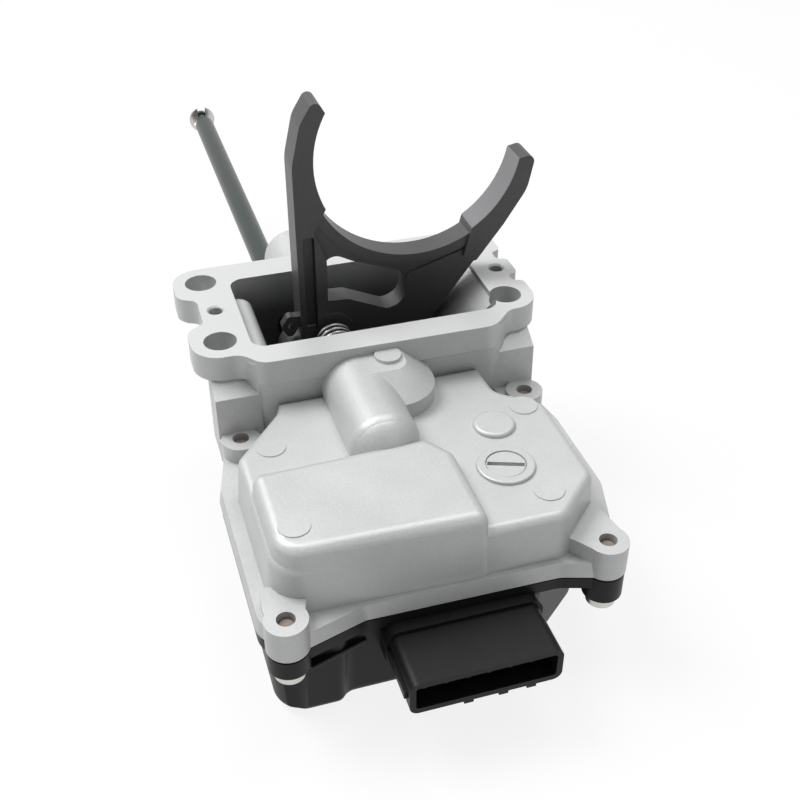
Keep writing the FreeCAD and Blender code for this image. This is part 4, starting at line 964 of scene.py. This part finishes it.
@dataclass(frozen=True)
class BumpNose:
    """Smooth rounded end of the rod bump, over the scoop of the solid."""

    centre_mm: Place = (-8.2, -62.3, -13.5)
    radii_mm: Place = (10.3, 8.7, 10.3)
    seat_z_mm: float = -14.5
    segments: int = 64
    rings: int = 32

    def build(self, bench: Bench) -> None:
        """Make a ball, and keep the part that shows in front of the bump.

        Args:
            bench: Modelling calls.
        """
        bpy.ops.object.select_all(action="DESELECT")
        bpy.ops.mesh.primitive_uv_sphere_add(segments=self.segments, ring_count=self.rings,
                                             radius=1.0,
                                             location=[mm(value) for value in self.centre_mm])
        piece = bpy.context.object
        piece.name = "bump_nose"
        piece.scale = [mm(radius) for radius in self.radii_mm]
        bench.apply(piece)
        bench.trim(piece, self.centre_mm, (0.0, 1.0, 0.0))
        bench.trim(piece, (0.0, 0.0, self.seat_z_mm), (0.0, 0.0, -1.0))
        bpy.ops.object.shade_smooth_by_angle(angle=math.radians(EDGE_DEG))
        bench.finish(piece, "casting", "cast_aluminium")


@dataclass(frozen=True)
class CoverLedge:
    """Thin ledge under the cover's flange at the front left."""

    centre_mm: Place = (-34.7, -106.9, -43.0)
    half_mm: Place = (8.5, 2.2, 0.6)
    edge_mm: float = 0.3
    turn_deg: float = 17.7

    def build(self, bench: Bench) -> None:
        """Make the ledge, turn it along the cover's corner and seat it in the wall.

        Args:
            bench: Modelling calls.
        """
        low = tuple(-half for half in self.half_mm)
        piece = bench.box(low, self.half_mm, self.edge_mm, "cover_ledge")
        piece.rotation_euler = (0.0, 0.0, math.radians(self.turn_deg))
        piece.location = [mm(value) for value in self.centre_mm]
        bench.apply(piece)
        bench.finish(piece, "casting", "black_plastic")


# The photographer's set


@dataclass(frozen=True)
class PhotoCamera:
    """Camera fitted to the photograph."""

    place_mm: Place = (-79.9, -309.4, 190.1)
    azimuth_deg: float = 17.24
    elevation_deg: float = 36.27
    focal_px: float = 1159.0
    frame_px: float = 800.0
    sensor_mm: float = 36.0
    nearest_m: float = 0.01

    def build(self) -> None:
        """Add the camera and make it the scene's."""
        data = bpy.data.cameras.new("photo camera")
        data.sensor_width = self.sensor_mm
        data.lens = self.focal_px / self.frame_px * self.sensor_mm
        data.clip_start = self.nearest_m
        camera = bpy.data.objects.new("photo_camera", data)
        camera.location = [mm(value) for value in self.place_mm]
        camera.rotation_euler = Euler((math.radians(90.0 - self.elevation_deg), 0.0,
                                       math.radians(-self.azimuth_deg)))
        bpy.context.scene.collection.objects.link(camera)
        bpy.context.scene.camera = camera


@dataclass(frozen=True)
class SoftBox:
    """One square lamp, placed in metres."""

    name: str
    place: Place
    size: float
    watts: float


@dataclass(frozen=True)
class PhotoSet:
    """White floor, white surround and soft lamps."""

    floor_gap_mm: float = 0.2
    floor_size_m: float = 30.0
    floor_tone: float = 0.86
    floor_rough: float = 0.8
    floor_glow: float = 0.86
    surround_tint: Colour = (0.95, 0.97, 1.0)
    surround_strength: float = 0.16
    surround_seen: Colour = (1.0, 1.0, 1.0)
    aim: Place = (0.0, -0.03, 0.0)
    boxes: tuple[SoftBox, ...] = (
        SoftBox("key", (-0.62, 0.45, 1.15), 0.7, 19.0),
        SoftBox("top", (0.30, 0.15, 1.25), 0.7, 7.0),
        SoftBox("front_fill", (0.55, -1.2, 0.55), 0.9, 1.4),
    )

    def build(self) -> None:
        """Build the floor, the surround and the lamps."""
        self.build_floor()
        self.build_surround()
        for box in self.boxes:
            self.build_box(box)
        bpy.context.scene.view_settings.view_transform = "Standard"

    def build_floor(self) -> None:
        """Add the pale floor under the lowest point."""
        low = CAD_BOX[0][2] - mm(self.floor_gap_mm)
        bpy.ops.mesh.primitive_plane_add(size=self.floor_size_m, location=(0.0, 0.0, low))
        floor = bpy.context.object
        floor.name = "floor"
        graph = ShaderGraph("pale floor")
        graph.shader.inputs["Base Color"].default_value = (*[self.floor_tone] * 3, 1.0)
        graph.shader.inputs["Roughness"].default_value = self.floor_rough
        glow = graph.tree.nodes.new("ShaderNodeEmission")
        mix = graph.tree.nodes.new("ShaderNodeMixShader")
        graph.link(graph.shader.outputs["BSDF"], mix.inputs[1])
        graph.link(glow.outputs["Emission"], mix.inputs[2])
        graph.link(self.seen(graph.tree, self.floor_glow), mix.inputs["Fac"])
        graph.link(mix.outputs["Shader"], graph.output.inputs["Surface"])
        floor.data.materials.append(graph.material)

    def build_surround(self) -> None:
        """Light the set from all sides, and show the surround as white."""
        world = bpy.data.worlds.new("surround")
        bpy.context.scene.world = world
        world.use_nodes = True
        tree = world.node_tree
        tree.nodes.clear()
        output = tree.nodes.new("ShaderNodeOutputWorld")
        mix = tree.nodes.new("ShaderNodeMixShader")
        dim = tree.nodes.new("ShaderNodeBackground")
        dim.inputs["Color"].default_value = (*self.surround_tint, 1.0)
        dim.inputs["Strength"].default_value = self.surround_strength
        white = tree.nodes.new("ShaderNodeBackground")
        white.inputs["Color"].default_value = (*self.surround_seen, 1.0)
        tree.links.new(dim.outputs[0], mix.inputs[1])
        tree.links.new(white.outputs[0], mix.inputs[2])
        tree.links.new(self.seen(tree, 1.0), mix.inputs["Fac"])
        tree.links.new(mix.outputs[0], output.inputs["Surface"])

    def seen(self, tree: Tree, share: float) -> Socket:
        """Mask of rays that see the background: straight, mirrored or through glass.

        Args:
            tree: Node tree to add to.
            share: Value where the background is seen.

        Returns:
            The mask's socket.
        """
        path = tree.nodes.new("ShaderNodeLightPath")
        total = path.outputs["Is Camera Ray"]
        for name in ("Is Glossy Ray", "Is Transmission Ray"):
            total = maths(tree, "MAXIMUM", total, path.outputs[name])
        return maths(tree, "MULTIPLY", total, share)

    def build_box(self, box: SoftBox) -> None:
        """Add one lamp aimed at the object.

        Args:
            box: Its place, size and power.
        """
        data = bpy.data.lights.new(box.name, "AREA")
        data.shape = "SQUARE"
        data.size = box.size
        data.energy = box.watts
        lamp = bpy.data.objects.new(box.name, data)
        lamp.location = box.place
        aim = Vector(self.aim) - Vector(box.place)
        lamp.rotation_euler = aim.to_track_quat("-Z", "Y").to_euler()
        bpy.context.scene.collection.objects.link(lamp)


def main() -> None:
    """Build the set, dress the frame and add the pieces."""
    logging.basicConfig(level=logging.INFO, format="%(name)s: %(message)s")
    bpy.ops.object.select_all(action="DESELECT")
    PhotoCamera().build()
    PhotoSet().build()
    shop = PaintShop()
    shop.dress_frame()
    bench = Bench(shop)
    for maker in (RoundSpring(), CastFork(), CastHousing(), BumpNose(), CoverLedge()):
        maker.build(bench)
    LOG.info("dressed %d nodes", len(frame["nodes"]))


if __name__ == "__main__":
    main()
